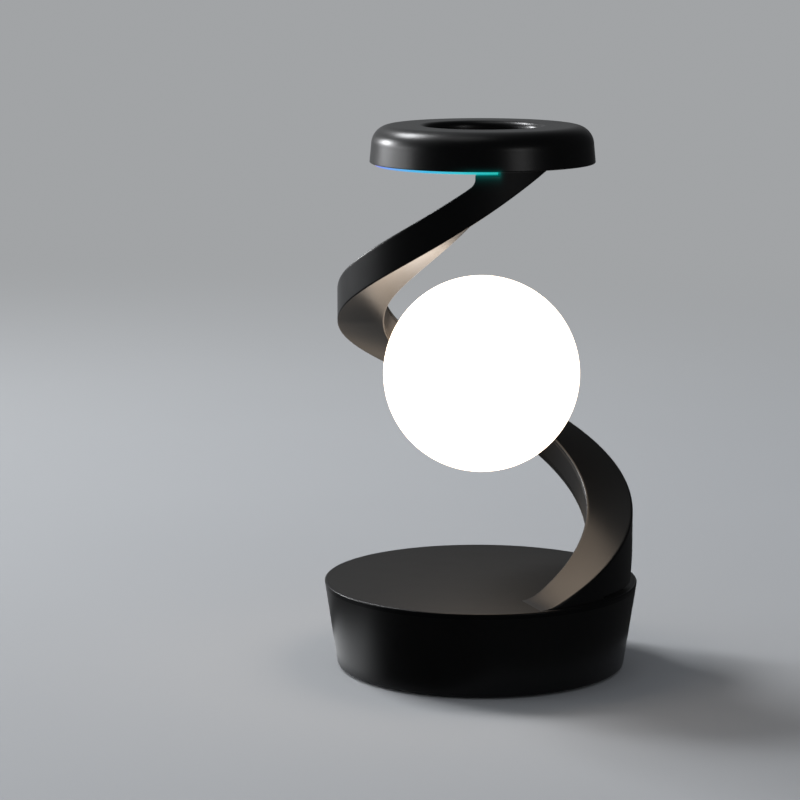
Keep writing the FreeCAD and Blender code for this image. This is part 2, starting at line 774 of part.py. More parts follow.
parts["light_guide"] = ring_sector(guide_in, guide_out, ring_z - guide_drop, ring_z - guide_drop + guide_h,
                                   guide_from, guide_to)
strip_out = guide_in - fit
parts["ring_led_strip"] = ring_sector(strip_r_in, strip_out, ring_floor, ring_floor + strip_t,
                                      strip_from, strip_to)
leds = []
for az in span(strip_from + ring_led_size, strip_to - ring_led_size, ring_led_step):
    leds.append(tangent_box(az, strip_out - fit - ring_led_size, strip_out - fit, ring_led_size,
                            ring_floor + strip_t, ring_floor + strip_t + ring_led_t))
parts["ring_leds"] = Part.makeCompound(leds)
parts["end_screws"] = Part.makeCompound([
    screw(V(p.x, p.y, ring_floor), V(0, 0, -1), m3_r, ring_base_t + 0.7 * screw_bite,
          m3_head_r, m3_head_t) for p in end_screws_at])

# ---------------------------------------------------------------- magnetic seat
lip_r = collar_r + collar_lip
cut_s = math.sqrt(globe_r ** 2 - lip_r ** 2) - 0.25
face_s = cut_s + collar_lip_t
seat_face = face_s - seat_reach
seat_back = seat_face + seat_t
spine_front = arm_inner(seat_az) + spine_in
seat = rod(seat_r, on_seat_axis(seat_face), seat_dir, seat_t)
seat = seat.fuse(rod(seat_neck_r, on_seat_axis(seat_back - 0.5), seat_dir, spine_front - seat_back + 0.5))
spine_room = swept(spine_in - 0.5 * screw_gap, spine_in + arm_wall, channel_low, channel_high,
                   seat_az - 2 * seat_neck_r, seat_az + 2 * seat_neck_r)
seat = seat.cut(spine_room)
seat = seat.cut(rod(magnet_r + screw_gap, on_seat_axis(seat_face - 1), seat_dir, magnet_t + 1))
seat_bite = spine_front - seat_face - magnet_t - 1.2
seat = seat.cut(rod(m3_r + screw_gap, on_seat_axis(spine_front - seat_bite), seat_dir, seat_bite + 1))
contact_in = seat_r - contact_ring_w - 0.2     # the outer contact's inner radius
groove = rod(seat_r - 0.2, on_seat_axis(seat_face), seat_dir, contact_ring_t)
groove = groove.cut(rod(contact_in, on_seat_axis(seat_face - 1), seat_dir, 3))
seat = seat.cut(groove)
parts["globe_seat"] = seat

magnet = rod(magnet_r, on_seat_axis(seat_face), seat_dir, magnet_t)
magnet = magnet.cut(rod(contact_pin_r + 0.4, on_seat_axis(seat_face - 1), seat_dir, magnet_t + 2))
parts["seat_magnet"] = magnet
outer = rod(seat_r - 0.25, on_seat_axis(seat_face), seat_dir, contact_ring_t - 0.05)
outer = outer.cut(rod(contact_in + 0.05, on_seat_axis(seat_face - 1), seat_dir, 3))
inner = rod(contact_pin_r, on_seat_axis(seat_face), seat_dir, magnet_t)
parts["seat_contacts"] = Part.makeCompound([inner, outer])
parts["seat_screw"] = screw(on_seat_axis(spine_front + spine_t + screw_gap), seat_dir * -1, m3_r,
                            spine_t + 0.9 * seat_bite, m3_head_r, m3_head_t)

# ---------------------------------------------------------------- globe
inner_r = globe_r - globe_wall
shade = Part.makeSphere(globe_r).cut(Part.makeSphere(inner_r))
shade = shade.cut(pillar(globe_r, cut_s, 2 * globe_r))
shade = shade.cut(pillar(collar_r + fit, cut_s - 2 * collar_depth, globe_r))
aim = FreeCAD.Placement(centre, FreeCAD.Rotation(UP, seat_dir))


def aimed(shape):
    """Turn a piece modelled along +Z on to the seat's axis, at the globe's centre."""
    shape = shape.copy()
    shape.Placement = aim
    return shape


parts["globe_shade"] = aimed(shade)

socket_r = seat_r + globe_travel_gap
socket_floor = seat_face - seat_face_gap
collar = pillar(lip_r, cut_s, face_s).fuse(pillar(collar_r, cut_s - collar_depth, cut_s + 0.2))
collar = collar.cut(pillar(socket_r, socket_floor, face_s + 1))
collar = collar.cut(pillar(magnet_r + screw_gap, socket_floor - keeper_t, face_s))
collar = collar.cut(tube(contact_in, seat_r - 0.2, socket_floor - contact_ring_t, face_s))
collar_back = cut_s - collar_depth
parts["globe_collar"] = aimed(collar)
keeper = tube(contact_pin_r + 0.6, magnet_r, socket_floor - keeper_t, socket_floor)
parts["globe_keeper"] = aimed(keeper)
parts["globe_contacts"] = aimed(Part.makeCompound([
    pillar(contact_pin_r, socket_floor - keeper_t, socket_floor),
    tube(contact_in + 0.05, seat_r - 0.25, socket_floor - contact_ring_t, socket_floor)]))

led_front = 0.0
post_foot = pillar(led_flange_r + 0.8, collar_back - led_flange_t, collar_back)
post = pillar(led_post_r, led_front + led_flange_t, collar_back - led_flange_t + 0.2)
post_head = pillar(led_flange_r, led_front, led_front + led_flange_t)
post = fuse([post_foot, post, post_head])
parts["led_post"] = aimed(post)
parts["led_board"] = aimed(pillar(led_board_r, led_front - led_board_t, led_front))
chips = []
for i in range(led_count):
    chip = block(led_ring_r - led_size / 2, led_ring_r + led_size / 2, -led_size / 2, led_size / 2,
                 led_front - led_board_t - led_t, led_front - led_board_t)
    chip.rotate(V(0, 0, 0), UP, i * 360.0 / led_count)
    chips.append(chip)
chips.append(block(-led_size / 2, led_size / 2, -led_size / 2, led_size / 2,
                   led_front - led_board_t - led_t, led_front - led_board_t))
parts["led_chips"] = aimed(Part.makeCompound(chips))

# ---------------------------------------------------------------- export
os.makedirs("parts", exist_ok=True)
for name, shape in parts.items():
    shape.exportStep("parts/" + name + ".step")
    print("%-16s solids %d  valid %s  volume %.1f" % (name, len(shape.Solids), shape.isValid(), shape.Volume))
print("seat angle %.2f, arm ends at %.1f, ring from %.1f to %.1f" % (seat_az, arm_end, ring_z, ring_top))
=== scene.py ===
# %% [markdown]
# # Magnetic balance lamp
# A round, weighted base charges a phone on its deck.  A spiral arm climbs one turn
# round a glowing globe and tucks in under a ring with a line of coloured light.
# The globe sits on a magnetic seat on the arm and pulls off.
# This script dresses the fixed frame of the lamp: it gives every piece its finish,
# and makes the moulded skins again with the soft edges that a mould leaves.

# %% Load the frame
import json
import math
import bmesh
import bpy
from mathutils import Matrix, Vector


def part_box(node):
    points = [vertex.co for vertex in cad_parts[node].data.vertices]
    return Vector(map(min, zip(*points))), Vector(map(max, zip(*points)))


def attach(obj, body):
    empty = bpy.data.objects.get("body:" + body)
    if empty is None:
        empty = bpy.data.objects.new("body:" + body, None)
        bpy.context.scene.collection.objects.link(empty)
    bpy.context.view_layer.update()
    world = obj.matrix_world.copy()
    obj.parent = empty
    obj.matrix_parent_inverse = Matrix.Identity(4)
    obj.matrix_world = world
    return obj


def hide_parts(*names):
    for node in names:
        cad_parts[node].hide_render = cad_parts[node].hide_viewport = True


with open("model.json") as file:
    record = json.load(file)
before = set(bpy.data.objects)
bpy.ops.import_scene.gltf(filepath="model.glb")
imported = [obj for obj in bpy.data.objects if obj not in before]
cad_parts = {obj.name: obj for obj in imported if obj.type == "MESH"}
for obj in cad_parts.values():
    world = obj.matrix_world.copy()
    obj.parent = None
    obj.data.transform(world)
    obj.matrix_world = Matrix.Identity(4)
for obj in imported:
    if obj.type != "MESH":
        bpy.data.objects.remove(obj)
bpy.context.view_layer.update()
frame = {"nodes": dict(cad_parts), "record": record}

MM = 0.001
nodes = frame["nodes"]
print("nodes in the frame:", len(nodes))

# %% [markdown]
# ## Maths on node sockets
# A material or a Geometry Nodes tree is easier to read as a formula than as a heap
# of boxes and wires.  One small class wraps a socket and overloads the operators,
# so that 1 - mask * 0.3 adds the Math nodes by itself.  One method makes any other
# node from its type, its settings and the values or links of its sockets.

# %% A socket that does maths
def maths(operation, reflected=False):
    """A method that adds one Math node; reflected, the socket stands behind the operator."""
    def method(self, other):
        first, second = (other, self) if reflected else (self, other)
        return self.tree.math(operation, first, second)
    return method


class Value:
    """A node socket that can be used in Python expressions."""

    __add__ = __radd__ = maths("ADD")
    __sub__ = maths("SUBTRACT")
    __rsub__ = maths("SUBTRACT", reflected=True)
    __mul__ = __rmul__ = maths("MULTIPLY")
    __truediv__ = maths("DIVIDE")
    __rtruediv__ = maths("DIVIDE", reflected=True)
    __pow__ = maths("POWER")
    __rpow__ = maths("POWER", reflected=True)
    at_least = maths("MAXIMUM")
    at_most = maths("MINIMUM")
    over = maths("GREATER_THAN")

    def __init__(self, tree, socket):
        self.tree = tree
        self.socket = socket

    def __neg__(self):
        return self * -1.0

    def clamped(self):
        return self.at_least(0.0).at_most(1.0)

    def rises(self, start, width):
        """0 up to the start and 1 past the width, with a soft turn at both ends."""
        t = ((self - start) / width).clamped()
        return t * t * (3.0 - 2.0 * t)

    def falls(self, start, width):
        return 1.0 - self.rises(start, width)


class Tree:
    """A node tree that is filled in by formulas."""

    def __init__(self, node_tree):
        self.nodes = node_tree.nodes
        self.links = node_tree.links

    def fill(self, node, inputs):
        """Link or set a node's sockets, by name or by number."""
        for key, value in inputs.items():
            socket = node.inputs[key]
            if isinstance(value, Value):
                self.links.new(value.socket, socket)
            elif socket.type == "RGBA":
                socket.default_value = (*value, 1.0)
            else:
                socket.default_value = value

    def node(self, kind, inputs=None, out=0, **settings):
        """Any node: first its settings, then the values or links of its sockets."""
        made = self.nodes.new(kind)
        for name, value in settings.items():
            if name == "stops":
                ramp = made.color_ramp
                while len(ramp.elements) < len(value):
                    ramp.elements.new(1.0)
                for stop, (place, colour) in zip(ramp.elements, value):
                    stop.position = place
                    stop.color = (*colour, 1.0)
            else:
                setattr(made, name, value)
        self.fill(made, inputs or {})
        return Value(self, made.outputs[out]) if made.outputs else made

    def math(self, operation, *values):
        return self.node("ShaderNodeMath", dict(enumerate(values)), operation=operation)

    def vector(self, x, y, z):
        return self.node("ShaderNodeCombineXYZ", {0: x, 1: y, 2: z})

    def parts(self, vector):
        split = self.node("ShaderNodeSeparateXYZ", {0: vector})
        return [Value(self, out) for out in split.socket.node.outputs]


print("maths on sockets is ready")

# %% [markdown]
# ## Finishes
# Nearly all of the lamp is injection-moulded plastic.  A steel mould is spark-eroded
# to a fine grain, so a satin moulding is never a perfect mirror: its gloss wanders a
# little and its surface has a very fine bump.  Each finish below starts from the same
# recipe: a colour that drifts slowly, a roughness that drifts with it, and a grain
# that only tilts the normal.  All of it reads Object coordinates, in metres.

# %% The recipe for a moulded or metal finish
def mixed(tree, amount, first, second):
    """A colour between two colours."""
    return tree.node("ShaderNodeMix", {0: amount, 6: first, 7: second}, out=2, data_type="RGBA")


def noise(tree, point, scale, detail=2.0):
    """Soft noise from 0 to 1."""
    return tree.node("ShaderNodeTexNoise", {"Vector": point, "Scale": scale, "Detail": detail})


def relief(tree, height, strength, distance=0.0002):
    """A fine surface that only tilts the normal."""
    return tree.node("ShaderNodeBump", {"Height": height, "Strength": strength, "Distance": distance})


def new_material(name, rule, base=None):
    """A material, new or on a base; the rule gives the shader's sockets at a point in metres."""
    material = base.copy() if base else bpy.data.materials.new(name)
    material.name = name
    material.use_nodes = True
    tree = Tree(material.node_tree)
    point = tree.node("ShaderNodeTexCoord", out="Object")
    tree.fill(material.node_tree.nodes["Principled BSDF"], rule(tree, point))
    return material


def finish(name, light, dark, rough, drift=0.05, patch=60.0, grain=2400.0, bump=0.06,
           metallic=0.0, specular=0.5, coat=0.0, stretch=(1.0, 1.0, 1.0)):
    """Plastic, rubber or metal with a drifting colour and gloss and a fine grain."""
    def rule(tree, point):
        slow = noise(tree, point, patch, 4.0)
        pulled = tree.node("ShaderNodeVectorMath", {0: point, 1: stretch}, operation="MULTIPLY")
        return {"Base Color": mixed(tree, slow, dark, light),
                "Roughness": rough + (slow - 0.5) * (2.0 * drift),
                "Normal": relief(tree, noise(tree, pulled, grain, 1.0), bump), "Metallic": metallic,
                "Specular IOR Level": specular, "Coat Weight": coat, "Coat Roughness": 0.2}
    return new_material(name, rule)


satin = 0.32   # the roughness of the lamp's satin mouldings
finishes = {
    "body_black": finish("satin_black", (0.0034, 0.0034, 0.0036), (0.0024, 0.0024, 0.0025), satin,
                         0.03, specular=0.3),
    "rubber": finish("foot_rubber", (0.020, 0.020, 0.020), (0.012, 0.012, 0.012), 0.8, 0.08, bump=0.3),
    "ballast": finish("cast_iron", (0.17, 0.165, 0.16), (0.09, 0.088, 0.085), 0.55, 0.12, 90.0, 900.0,
                      0.5, metallic=0.9),
    "steel": finish("zinc_steel", (0.62, 0.62, 0.61), (0.48, 0.48, 0.47), 0.32, 0.08, 150.0, 1600.0,
                    0.15, metallic=1.0),
    "copper": finish("enamelled_copper", (0.72, 0.30, 0.12), (0.52, 0.19, 0.07), 0.30, 0.06, 200.0,
                     metallic=1.0, coat=0.4),
    "ferrite": finish("ferrite_plate", (0.045, 0.044, 0.042), (0.022, 0.022, 0.021), 0.62, 0.1, 200.0,
                      1500.0, 0.3),
    "inner_plastic": finish("inner_nylon", (0.055, 0.055, 0.058), (0.035, 0.035, 0.038), 0.5, 0.08),
    "parts_dark": finish("chip_black", (0.03, 0.03, 0.032), (0.016, 0.016, 0.017), 0.45, 0.1, 300.0),
    "button": finish("button_black", (0.022, 0.022, 0.023), (0.014, 0.014, 0.015), 0.42, 0.05, specular=0.4),
    "switch": finish("switch_body", (0.10, 0.10, 0.105), (0.06, 0.06, 0.065), 0.5, 0.06, 300.0),
    "magnet": finish("nickel_magnet", (0.70, 0.68, 0.64), (0.58, 0.56, 0.52), 0.22, 0.06, 300.0,
                     metallic=1.0),
    "contact": finish("gold_contact", (0.95, 0.72, 0.34), (0.80, 0.58, 0.24), 0.20, 0.05, 400.0,
                      metallic=1.0),
    "aluminium": finish("turned_aluminium", (0.80, 0.80, 0.81), (0.68, 0.68, 0.69), 0.3, 0.06, 120.0,
                        3000.0, 0.2, metallic=1.0, stretch=(1.0, 1.0, 0.1)),
    "cable": finish("flat_cable", (0.62, 0.62, 0.60), (0.48, 0.48, 0.47), 0.45, 0.05, 80.0, 2500.0, 0.25,
                    stretch=(0.05, 0.05, 1.0)),
    "strip": finish("white_flex_board", (0.82, 0.80, 0.74), (0.72, 0.70, 0.64), 0.4, 0.05, 200.0),
}
print("plain finishes:", len(finishes))

# %% [markdown]
# ## The deck's two finishes
# The deck is one moulding: its top, where the phone lies, is a soft matt grey-black
# that grips, and its rim is satin like the side below it.  One material does both:
# a mask from the radius chooses the colour and the roughness.

# %% Deck finish
deck_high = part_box("charging_deck")[1]
rim_width, rim_blend = 0.0011, 0.0003   # metres
matt = 0.58


def off_axis(x, y):
    """The distance from the lamp's axis."""
    return (x * x + y * y) ** 0.5


def deck_rule(tree, point):
    x, y, _ = tree.parts(point)
    rim = ((off_axis(x, y) - (deck_high.x - rim_width)) / rim_blend).clamped()
    slow = noise(tree, point, 45.0, 4.0)
    top = mixed(tree, slow, (0.0098, 0.0099, 0.0099), (0.0120, 0.0121, 0.0120))
    return {"Base Color": mixed(tree, rim, top, (0.0026, 0.0026, 0.0028)),
            "Roughness": (matt + (slow - 0.5) * 0.08) * (1.0 - rim) + satin * rim,
            "Normal": relief(tree, noise(tree, point, 2600.0, 1.0), 0.12), "Specular IOR Level": 0.14}


finishes["deck_black"] = new_material("deck_matt", deck_rule)
print("deck radius %.1f mm, top %.1f mm" % (deck_high.x / MM, deck_high.z / MM))

# %% [markdown]
# ## Circuit boards
# A board is glass-fibre laminate under green solder mask.  Copper tracks under the
# mask show as lighter lines, so a Brick texture with thin joints stands in for them.

# %% Board finish
def board_rule(tree, point):
    slow = noise(tree, point, 120.0, 3.0)
    tracks = tree.node("ShaderNodeTexBrick", {"Vector": point, "Scale": 260.0, "Mortar Size": 0.035},
                       out="Fac", offset=0.37)
    mask = mixed(tree, slow, (0.006, 0.045, 0.018), (0.010, 0.065, 0.028))
    return {"Base Color": mixed(tree, tracks, mask, (0.03, 0.14, 0.06)), "Roughness": 0.34 + slow * 0.1,
            "Normal": relief(tree, tracks, 0.2, 0.0001), "Coat Weight": 0.3}


finishes["board"] = new_material("solder_mask", board_rule)
print("board finish is ready")

# %% [markdown]
# ## Light
# The globe is a hollow opal ball lit from inside: opal plastic scatters so well that
# the whole ball looks evenly bright.  The material glows by itself, and a painted shade
# makes it a little warmer near the collar, where the post stands in the light.  The
# light guide is lit by a row of colour LEDs above it, so its colour follows the angle
# round the ring.  The glow of its last colour on the black plastic round the guide's
# open end is painted: the arm and the ring wear a copy of the black whose emission,
# a painted glow, fades with the distance to that end.

# %% Glowing finishes
globe_low, globe_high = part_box("globe_shade")
globe_r = (globe_high.z - globe_low.z) / 2
globe_centre = Vector((0.0, 0.0, (globe_high.z + globe_low.z) / 2))
seat_low, seat_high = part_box("globe_seat")
seat_middle = (seat_low + seat_high) / 2
seat_way = Vector((seat_middle.x, seat_middle.y, 0.0)).normalized()
collar_from, collar_over = 0.55 * globe_r, 0.45 * globe_r   # along the seat's axis, from the middle


def opal_rule(tree, point):
    along = tree.node("ShaderNodeVectorMath", {0: point, 1: tuple(seat_way)}, out=1, operation="DOT_PRODUCT")
    # painted shade: the glow turns warmer near the collar, where the post stands in the light
    painted_post_shade = along.rises(collar_from, collar_over)
    slow = noise(tree, point, 30.0)
    warm = mixed(tree, painted_post_shade, (1.0, 0.80, 0.62), (1.0, 0.73, 0.52))
    return {"Emission Color": mixed(tree, slow * 0.12, warm, (1.0, 0.85, 0.69)), "Emission Strength": 2.9,
            "Base Color": mixed(tree, slow, (0.86, 0.85, 0.82), (0.80, 0.79, 0.76)),
            "Roughness": 0.25 + slow * 0.1}


# colour round the ring: angle as a share of the turn, then the colour
rainbow = [
    (0.00, (0.30, 0.85, 0.10)),
    (0.12, (0.90, 0.50, 0.03)),
    (0.24, (0.90, 0.08, 0.04)),
    (0.34, (0.85, 0.05, 0.25)),
    (0.44, (0.50, 0.08, 0.75)),
    (0.52, (0.20, 0.14, 0.80)),
    (0.58, (0.05, 0.25, 0.90)),
    (0.65, (0.02, 0.50, 0.90)),
    (0.72, (0.01, 0.62, 0.72)),
    (0.77, (0.005, 0.55, 0.50)),
]


def turn_at(tree, x, y):
    """The angle round the ring as a share of the turn."""
    return tree.math("FRACT", tree.math("ARCTAN2", y, x) / (2 * math.pi) + 1.0)


def guide_rule(tree, point):
    x, y, _ = tree.parts(point)
    slow = noise(tree, point, 200.0)
    return {"Emission Color": tree.node("ShaderNodeValToRGB", {0: turn_at(tree, x, y)}, stops=rainbow),
            "Base Color": mixed(tree, slow, (0.22, 0.24, 0.25), (0.18, 0.20, 0.21)),
            "Roughness": 0.3 + slow * 0.1, "Emission Strength": 0.85}


def led_rule(tree, point):
    slow = noise(tree, point, 900.0)
    return {"Base Color": mixed(tree, slow, (0.95, 0.80, 0.25), (0.90, 0.88, 0.70)),
            "Emission Color": mixed(tree, slow, (1.0, 0.86, 0.62), (1.0, 0.93, 0.78)),
            "Emission Strength": 2.0}


finishes["opal"] = new_material("opal_glow", opal_rule)
finishes["guide"] = new_material("light_line", guide_rule)
finishes["led"] = new_material("led_phosphor", led_rule)
print("globe radius %.1f mm at height %.1f mm" % (globe_r / MM, globe_centre.z / MM))

# %% The painted glow round the line's open end
line_from, line_end = 10.0, 278.2                      # degrees
line_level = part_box("light_guide")[0].z + 0.0008
painted_glow_reach, painted_glow_level = 0.0011, 0.16                   # it falls to a third in this distance, in metres
painted_glow_start = line_end - 12.0                           # full between here and the line's end
past_end, before_start = 0.0015, 0.0004                # metres of distance for each degree outside
above, below = 1.8, 0.85                               # it falls faster above the line than below it
painted_glow_inside = 0.049                                    # nothing glows nearer the axis than this


def painted_glow_rule(tree, point):
    """Painted glow: emission on the black that stands in for the light round the line's open end."""
    x, y, z = tree.parts(point)
    turn = turn_at(tree, x, y) * 360.0
    beyond = ((turn - line_end) * past_end).at_least((painted_glow_start - turn) * before_start).at_least(0.0)
    up = ((z - line_level) * above).at_least((line_level - z) * below)
    gap = (up * up + beyond * beyond) ** 0.5
    painted_glow = tree.math("EXPONENT", gap * (-1.0 / painted_glow_reach)) * off_axis(x, y).over(painted_glow_inside)
    return {"Emission Color": mixed(tree, painted_glow, (0.0, 0.0, 0.0), (0.0, painted_glow_level, 0.9 * painted_glow_level)),
            "Emission Strength": 1.0}


# the black of the arm and the ring, with the painted glow of the line's end
finishes["black_with_painted_glow"] = new_material("satin_black_by_the_line", painted_glow_rule, finishes["body_black"])
print("the line ends at %.1f degrees, %.1f mm up" % (line_end, line_level / MM))

# %% [markdown]
# ## Every node gets its finish
# The record says which finish each solid takes.  A solid whose shape is already right
# keeps its mesh, and only its material changes.

# %% Dress the solids
slot_of = {entry["node"]: entry["material_slot"] for entry in frame["record"]["subparts"]}
for name, obj in nodes.items():
    obj.data.materials.clear()
    obj.data.materials.append(finishes[slot_of[name]])
print("dressed:", len(nodes), "solids in", len(set(slot_of.values())), "finishes")

# %% [markdown]
# ## From a tree to a piece
# A Geometry Nodes tree is a recipe with named sizes.  It is run once as a modifier,
# the result is taken as a plain mesh, and the modifier goes.  The piece then rides on
# its body of the frame, and stands for the solid that it covers.

# %% Objects and loose points
def linked(name, data):
    """A new object in the scene."""
    obj = bpy.data.objects.new(name, data)
    bpy.context.scene.collection.objects.link(obj)
    return obj


def drop(*objects):
    for obj in objects:
        bpy.data.objects.remove(obj)


def spaced(first, last, steps):
    """Numbers from first to last at equal steps."""
    return [first + (last - first) * i / steps for i in range(steps + 1)]


def point_mesh(name, points, values):
    """Loose points with named numbers, for a tree to read."""
    mesh = bpy.data.meshes.new(name)
    mesh.from_pydata(points, [], [])
    for key, row in values.items():
        mesh.attributes.new(key, "FLOAT", "POINT").data.foreach_set("value", row)
    return linked(name, mesh)


print("five equal steps:", spaced(0.0, 1.0, 5))

# %% A recipe and its run
def new_recipe(name, rule, sizes):
    """A tree with named inputs that ends in the rule's geometry: no instances left, one material."""
    group = bpy.data.node_groups.new(name, "GeometryNodeTree")
    is_object = {key: isinstance(value, bpy.types.Object) for key, value in sizes.items()}
    kinds = {key: "Object" if lent else "Float" for key, lent in is_object.items()}
    for key, kind in {"Geometry": "Geometry", **kinds, "Finish": "Material"}.items():
        group.interface.new_socket(key, in_out="INPUT", socket_type="NodeSocket" + kind)
    group.interface.new_socket("Geometry", in_out="OUTPUT", socket_type="NodeSocketGeometry")
    tree = Tree(group)
    start = tree.node("NodeGroupInput").socket.node
    given = {socket.name: Value(tree, socket) for socket in start.outputs if socket.name}
    whole = tree.node("GeometryNodeRealizeInstances", {0: rule(tree, given)})
    painted = tree.node("GeometryNodeSetMaterial", {"Geometry": whole, "Material": given["Finish"]})
    tree.node("NodeGroupOutput", {0: painted})
    return group


def plain_mesh(obj):
    """What an object's modifiers make of it, as a mesh of its own."""
    bpy.context.view_layer.update()
    return bpy.data.meshes.new_from_object(obj.evaluated_get(bpy.context.evaluated_depsgraph_get()))


recipes = {}


def grown(name, rule, sizes, look, points=None):
    """Run a recipe once, on loose points or on one at the origin, and return a plain mesh."""
    if name not in recipes:
        recipes[name] = new_recipe(name, rule, sizes)
    holder = points or point_mesh(name, [(0.0, 0.0, 0.0)], {})
    modifier = holder.modifiers.new(name, "NODES")
    modifier.node_group = recipes[name]
    given = {**sizes, "Finish": finishes[look]}
    for socket in recipes[name].interface.items_tree:
        if socket.in_out == "INPUT" and socket.name in given:
            modifier[socket.identifier] = given[socket.name]
    mesh = plain_mesh(holder)
    holder.modifiers.remove(modifier)
    drop(holder)
    mesh.materials.clear()   # the holder's empty slot comes first in the list
    mesh.materials.append(finishes[look])
    return mesh


print("recipes so far:", len(recipes))

# %% From a plain mesh to a piece
def settled(mesh, sharp=35.0, cap=True):
    """Close open ends, point the faces outwards and smooth all but the sharp edges."""
    work = bmesh.new()
    work.from_mesh(mesh)
    bmesh.ops.remove_doubles(work, verts=work.verts, dist=2e-6)
    bmesh.ops.dissolve_degenerate(work, dist=1e-6, edges=work.edges)
    loose = [edge for edge in work.edges if not edge.link_faces]
    bmesh.ops.delete(work, geom=loose, context="EDGES")
    rims = [edge for edge in work.edges if cap and edge.is_boundary]
    if rims:
        bmesh.ops.holes_fill(work, edges=rims)
    if work.calc_volume(signed=True) < 0:
        bmesh.ops.reverse_faces(work, faces=work.faces)
    work.to_mesh(mesh)
    work.free()
    mesh.shade_smooth()
    mesh.set_sharp_from_angle(angle=math.radians(sharp))
    return mesh


def piece(name, mesh, slot, *stands_for, body="base_and_arm"):
    """A finished piece: its object at the origin, riding on a body."""
    obj = linked(name, mesh)
    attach(obj, body)
    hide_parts(*stands_for)
    mesh.calc_loop_triangles()
    print("%-18s %6d triangles" % (name, len(mesh.loop_triangles)))


print("solids that pieces can stand for:", len(nodes))

# %% [markdown]
# ## The spiral arm
# The arm is the lamp's main form: a flat-sided band that climbs one turn round the
# globe, narrows a little on the way, and closes in under the ring.  It is moulded as
# a channel with a lining strip on its inner face.  A rule gives its outer radius, its
# underside and its top at any angle, so a tree follows the rule instead of a hand
# placing points: a row of stations says where to stop, a section says what shape to
# draw there, and the tree puts one on the other.

# %% The arm's sizes, in millimetres and degrees
arm = {
    "Deck height": 41.8, "Ring height": 241.7, "Outer radius": 72.799, "Width": 22.0, "Taper": 10.0,
    "End radius": 52.0, "Rise per turn": 207.0, "Over deck": 20.15, "Root angle": -62.0, "End angle": 304.6,
    "Thickness": 16.5, "Thickness at ring": 18.6, "Tuck from": 191.0, "Tuck to": 295.0,
    "Steep from": 180.0, "Steep power": 0.95, "Heel angle": -12.5, "Heel top": 6.0, "Heel gap": 1.4,
    "Heel power": 2.2, "Wall": 2.0, "Floor": 3.0, "Edge": 0.9, "Low edge": 0.5, "Lining": 1.8,
    "Web angle": 266.6, "Web fillet": 2.6, "Web fillet angle": 2.8, "Guide inside": 48.25, "Guide drop": 1.45,
}
web_angle = arm["Web angle"]
web_near = web_angle - 3.0    # stations stand closer from here, for the web's fillet
guide_end, arm_from, arm_end = 278.7, -71.0, 304.55
foot_end = -38.0
channel_from, channel_to = -45.0, 279.0
coarse, fine = 2.0, 0.25      # degrees from one station to the next


def stations(marks, step=coarse):
    """Rows (angle, on deck, joined, channel, rebate) between marks, two at each change."""
    rows = []
    for (first, state), (last, _) in zip(marks, marks[1:]):
        angles = spaced(first, last, max(1, math.ceil((last - first) / step)))
        rows += [(angle, *state) for angle in angles]
    return rows


skin_rows = stations([(arm_from, (1, 0, 0, 0)), (channel_from, (1, 0, 1, 0)), (foot_end, (0, 0, 1, 0)),
                      (web_near, None)])
skin_rows += stations([(web_near, (0, 0, 1, 0)), (web_angle, None)], fine)
skin_rows += stations([(web_angle, (0, 1, 1, 1)), (guide_end, (0, 1, 1, 0)), (channel_to, (0, 1, 0, 0)),
                       (arm_end, None)])
print("stations along the arm:", len(skin_rows))

# %% The arm's laws as formulas on sockets
buried_by, end_height = 1.0, 0.06               # how far and how thick the arm ends in the ring's floor
tip_from, tip_over, tip_sink = 6.0, 8.0, 0.12   # the feathered tip sinks into the deck: degrees, and mm


def softened(tree, value, soft):
    """max(value, 0) with a soft turn."""
    size = tree.math("ABSOLUTE", value)
    tail = tree.math("LOGARITHM", 1.0 + tree.math("EXPONENT", size * (-1.0 / soft)), math.e)
    return value.at_least(0.0) + tail * soft


def arm_laws(tree, s, az, on_deck, joined):
    """Outer radius, underside and top of the arm at an angle."""
    deck, ring, root, end = (s[key] for key in ("Deck height", "Ring height", "Root angle", "End angle"))
    along = ((az - root) / (end - root)).at_least(0.0)
    free = s["Outer radius"] - s["Taper"] * along * along
    tucked = az.rises(s["Tuck from"], s["Tuck to"] - s["Tuck from"])
    outer = free * (1.0 - tucked) + s["End radius"] * tucked
    start = deck + s["Over deck"]
    rise = s["Rise per turn"] / 360.0
    steepen = ring - start - rise * end
    late = ((az - s["Steep from"]) / (end - s["Steep from"])).at_least(0.0)
    spiral = start + rise * az + steepen * late ** s["Steep power"]
    thick = s["Thickness"] + (s["Thickness at ring"] - s["Thickness"]) * late * late
    top = deck + softened(tree, spiral + thick - deck, 1.0)
    down = ((s["Heel top"] - az) / (s["Heel top"] - s["Heel angle"])).clamped()
    drop = start + rise * s["Heel angle"] - deck - s["Heel gap"]
    under = (spiral - drop * down ** s["Heel power"]).at_least(deck + s["Heel gap"])
    under = under * (1.0 - on_deck) + deck * on_deck
    near = ((az - s["Web angle"]) / s["Web fillet angle"] + 1.0).clamped()
    top = top + s["Web fillet"] * (1.0 - (1.0 - near * near).at_least(0.0) ** 0.5)
    buried = ring + buried_by
    top = top * (1.0 - joined) + buried * joined
    sunk = on_deck * (1.0 - (az - root + tip_from) / tip_over).clamped() * tip_sink
    return outer, under.at_most(buried - end_height) - sunk * 2.0, top - sunk


print("sizes in the arm's laws:", len(arm))

# %% The section: a band with soft edges and a shallow seat for the lining
section_keys = ("side", "side_edge", "lift", "lift_edge", "low", "seat", "shelf", "lowered", "ledge")


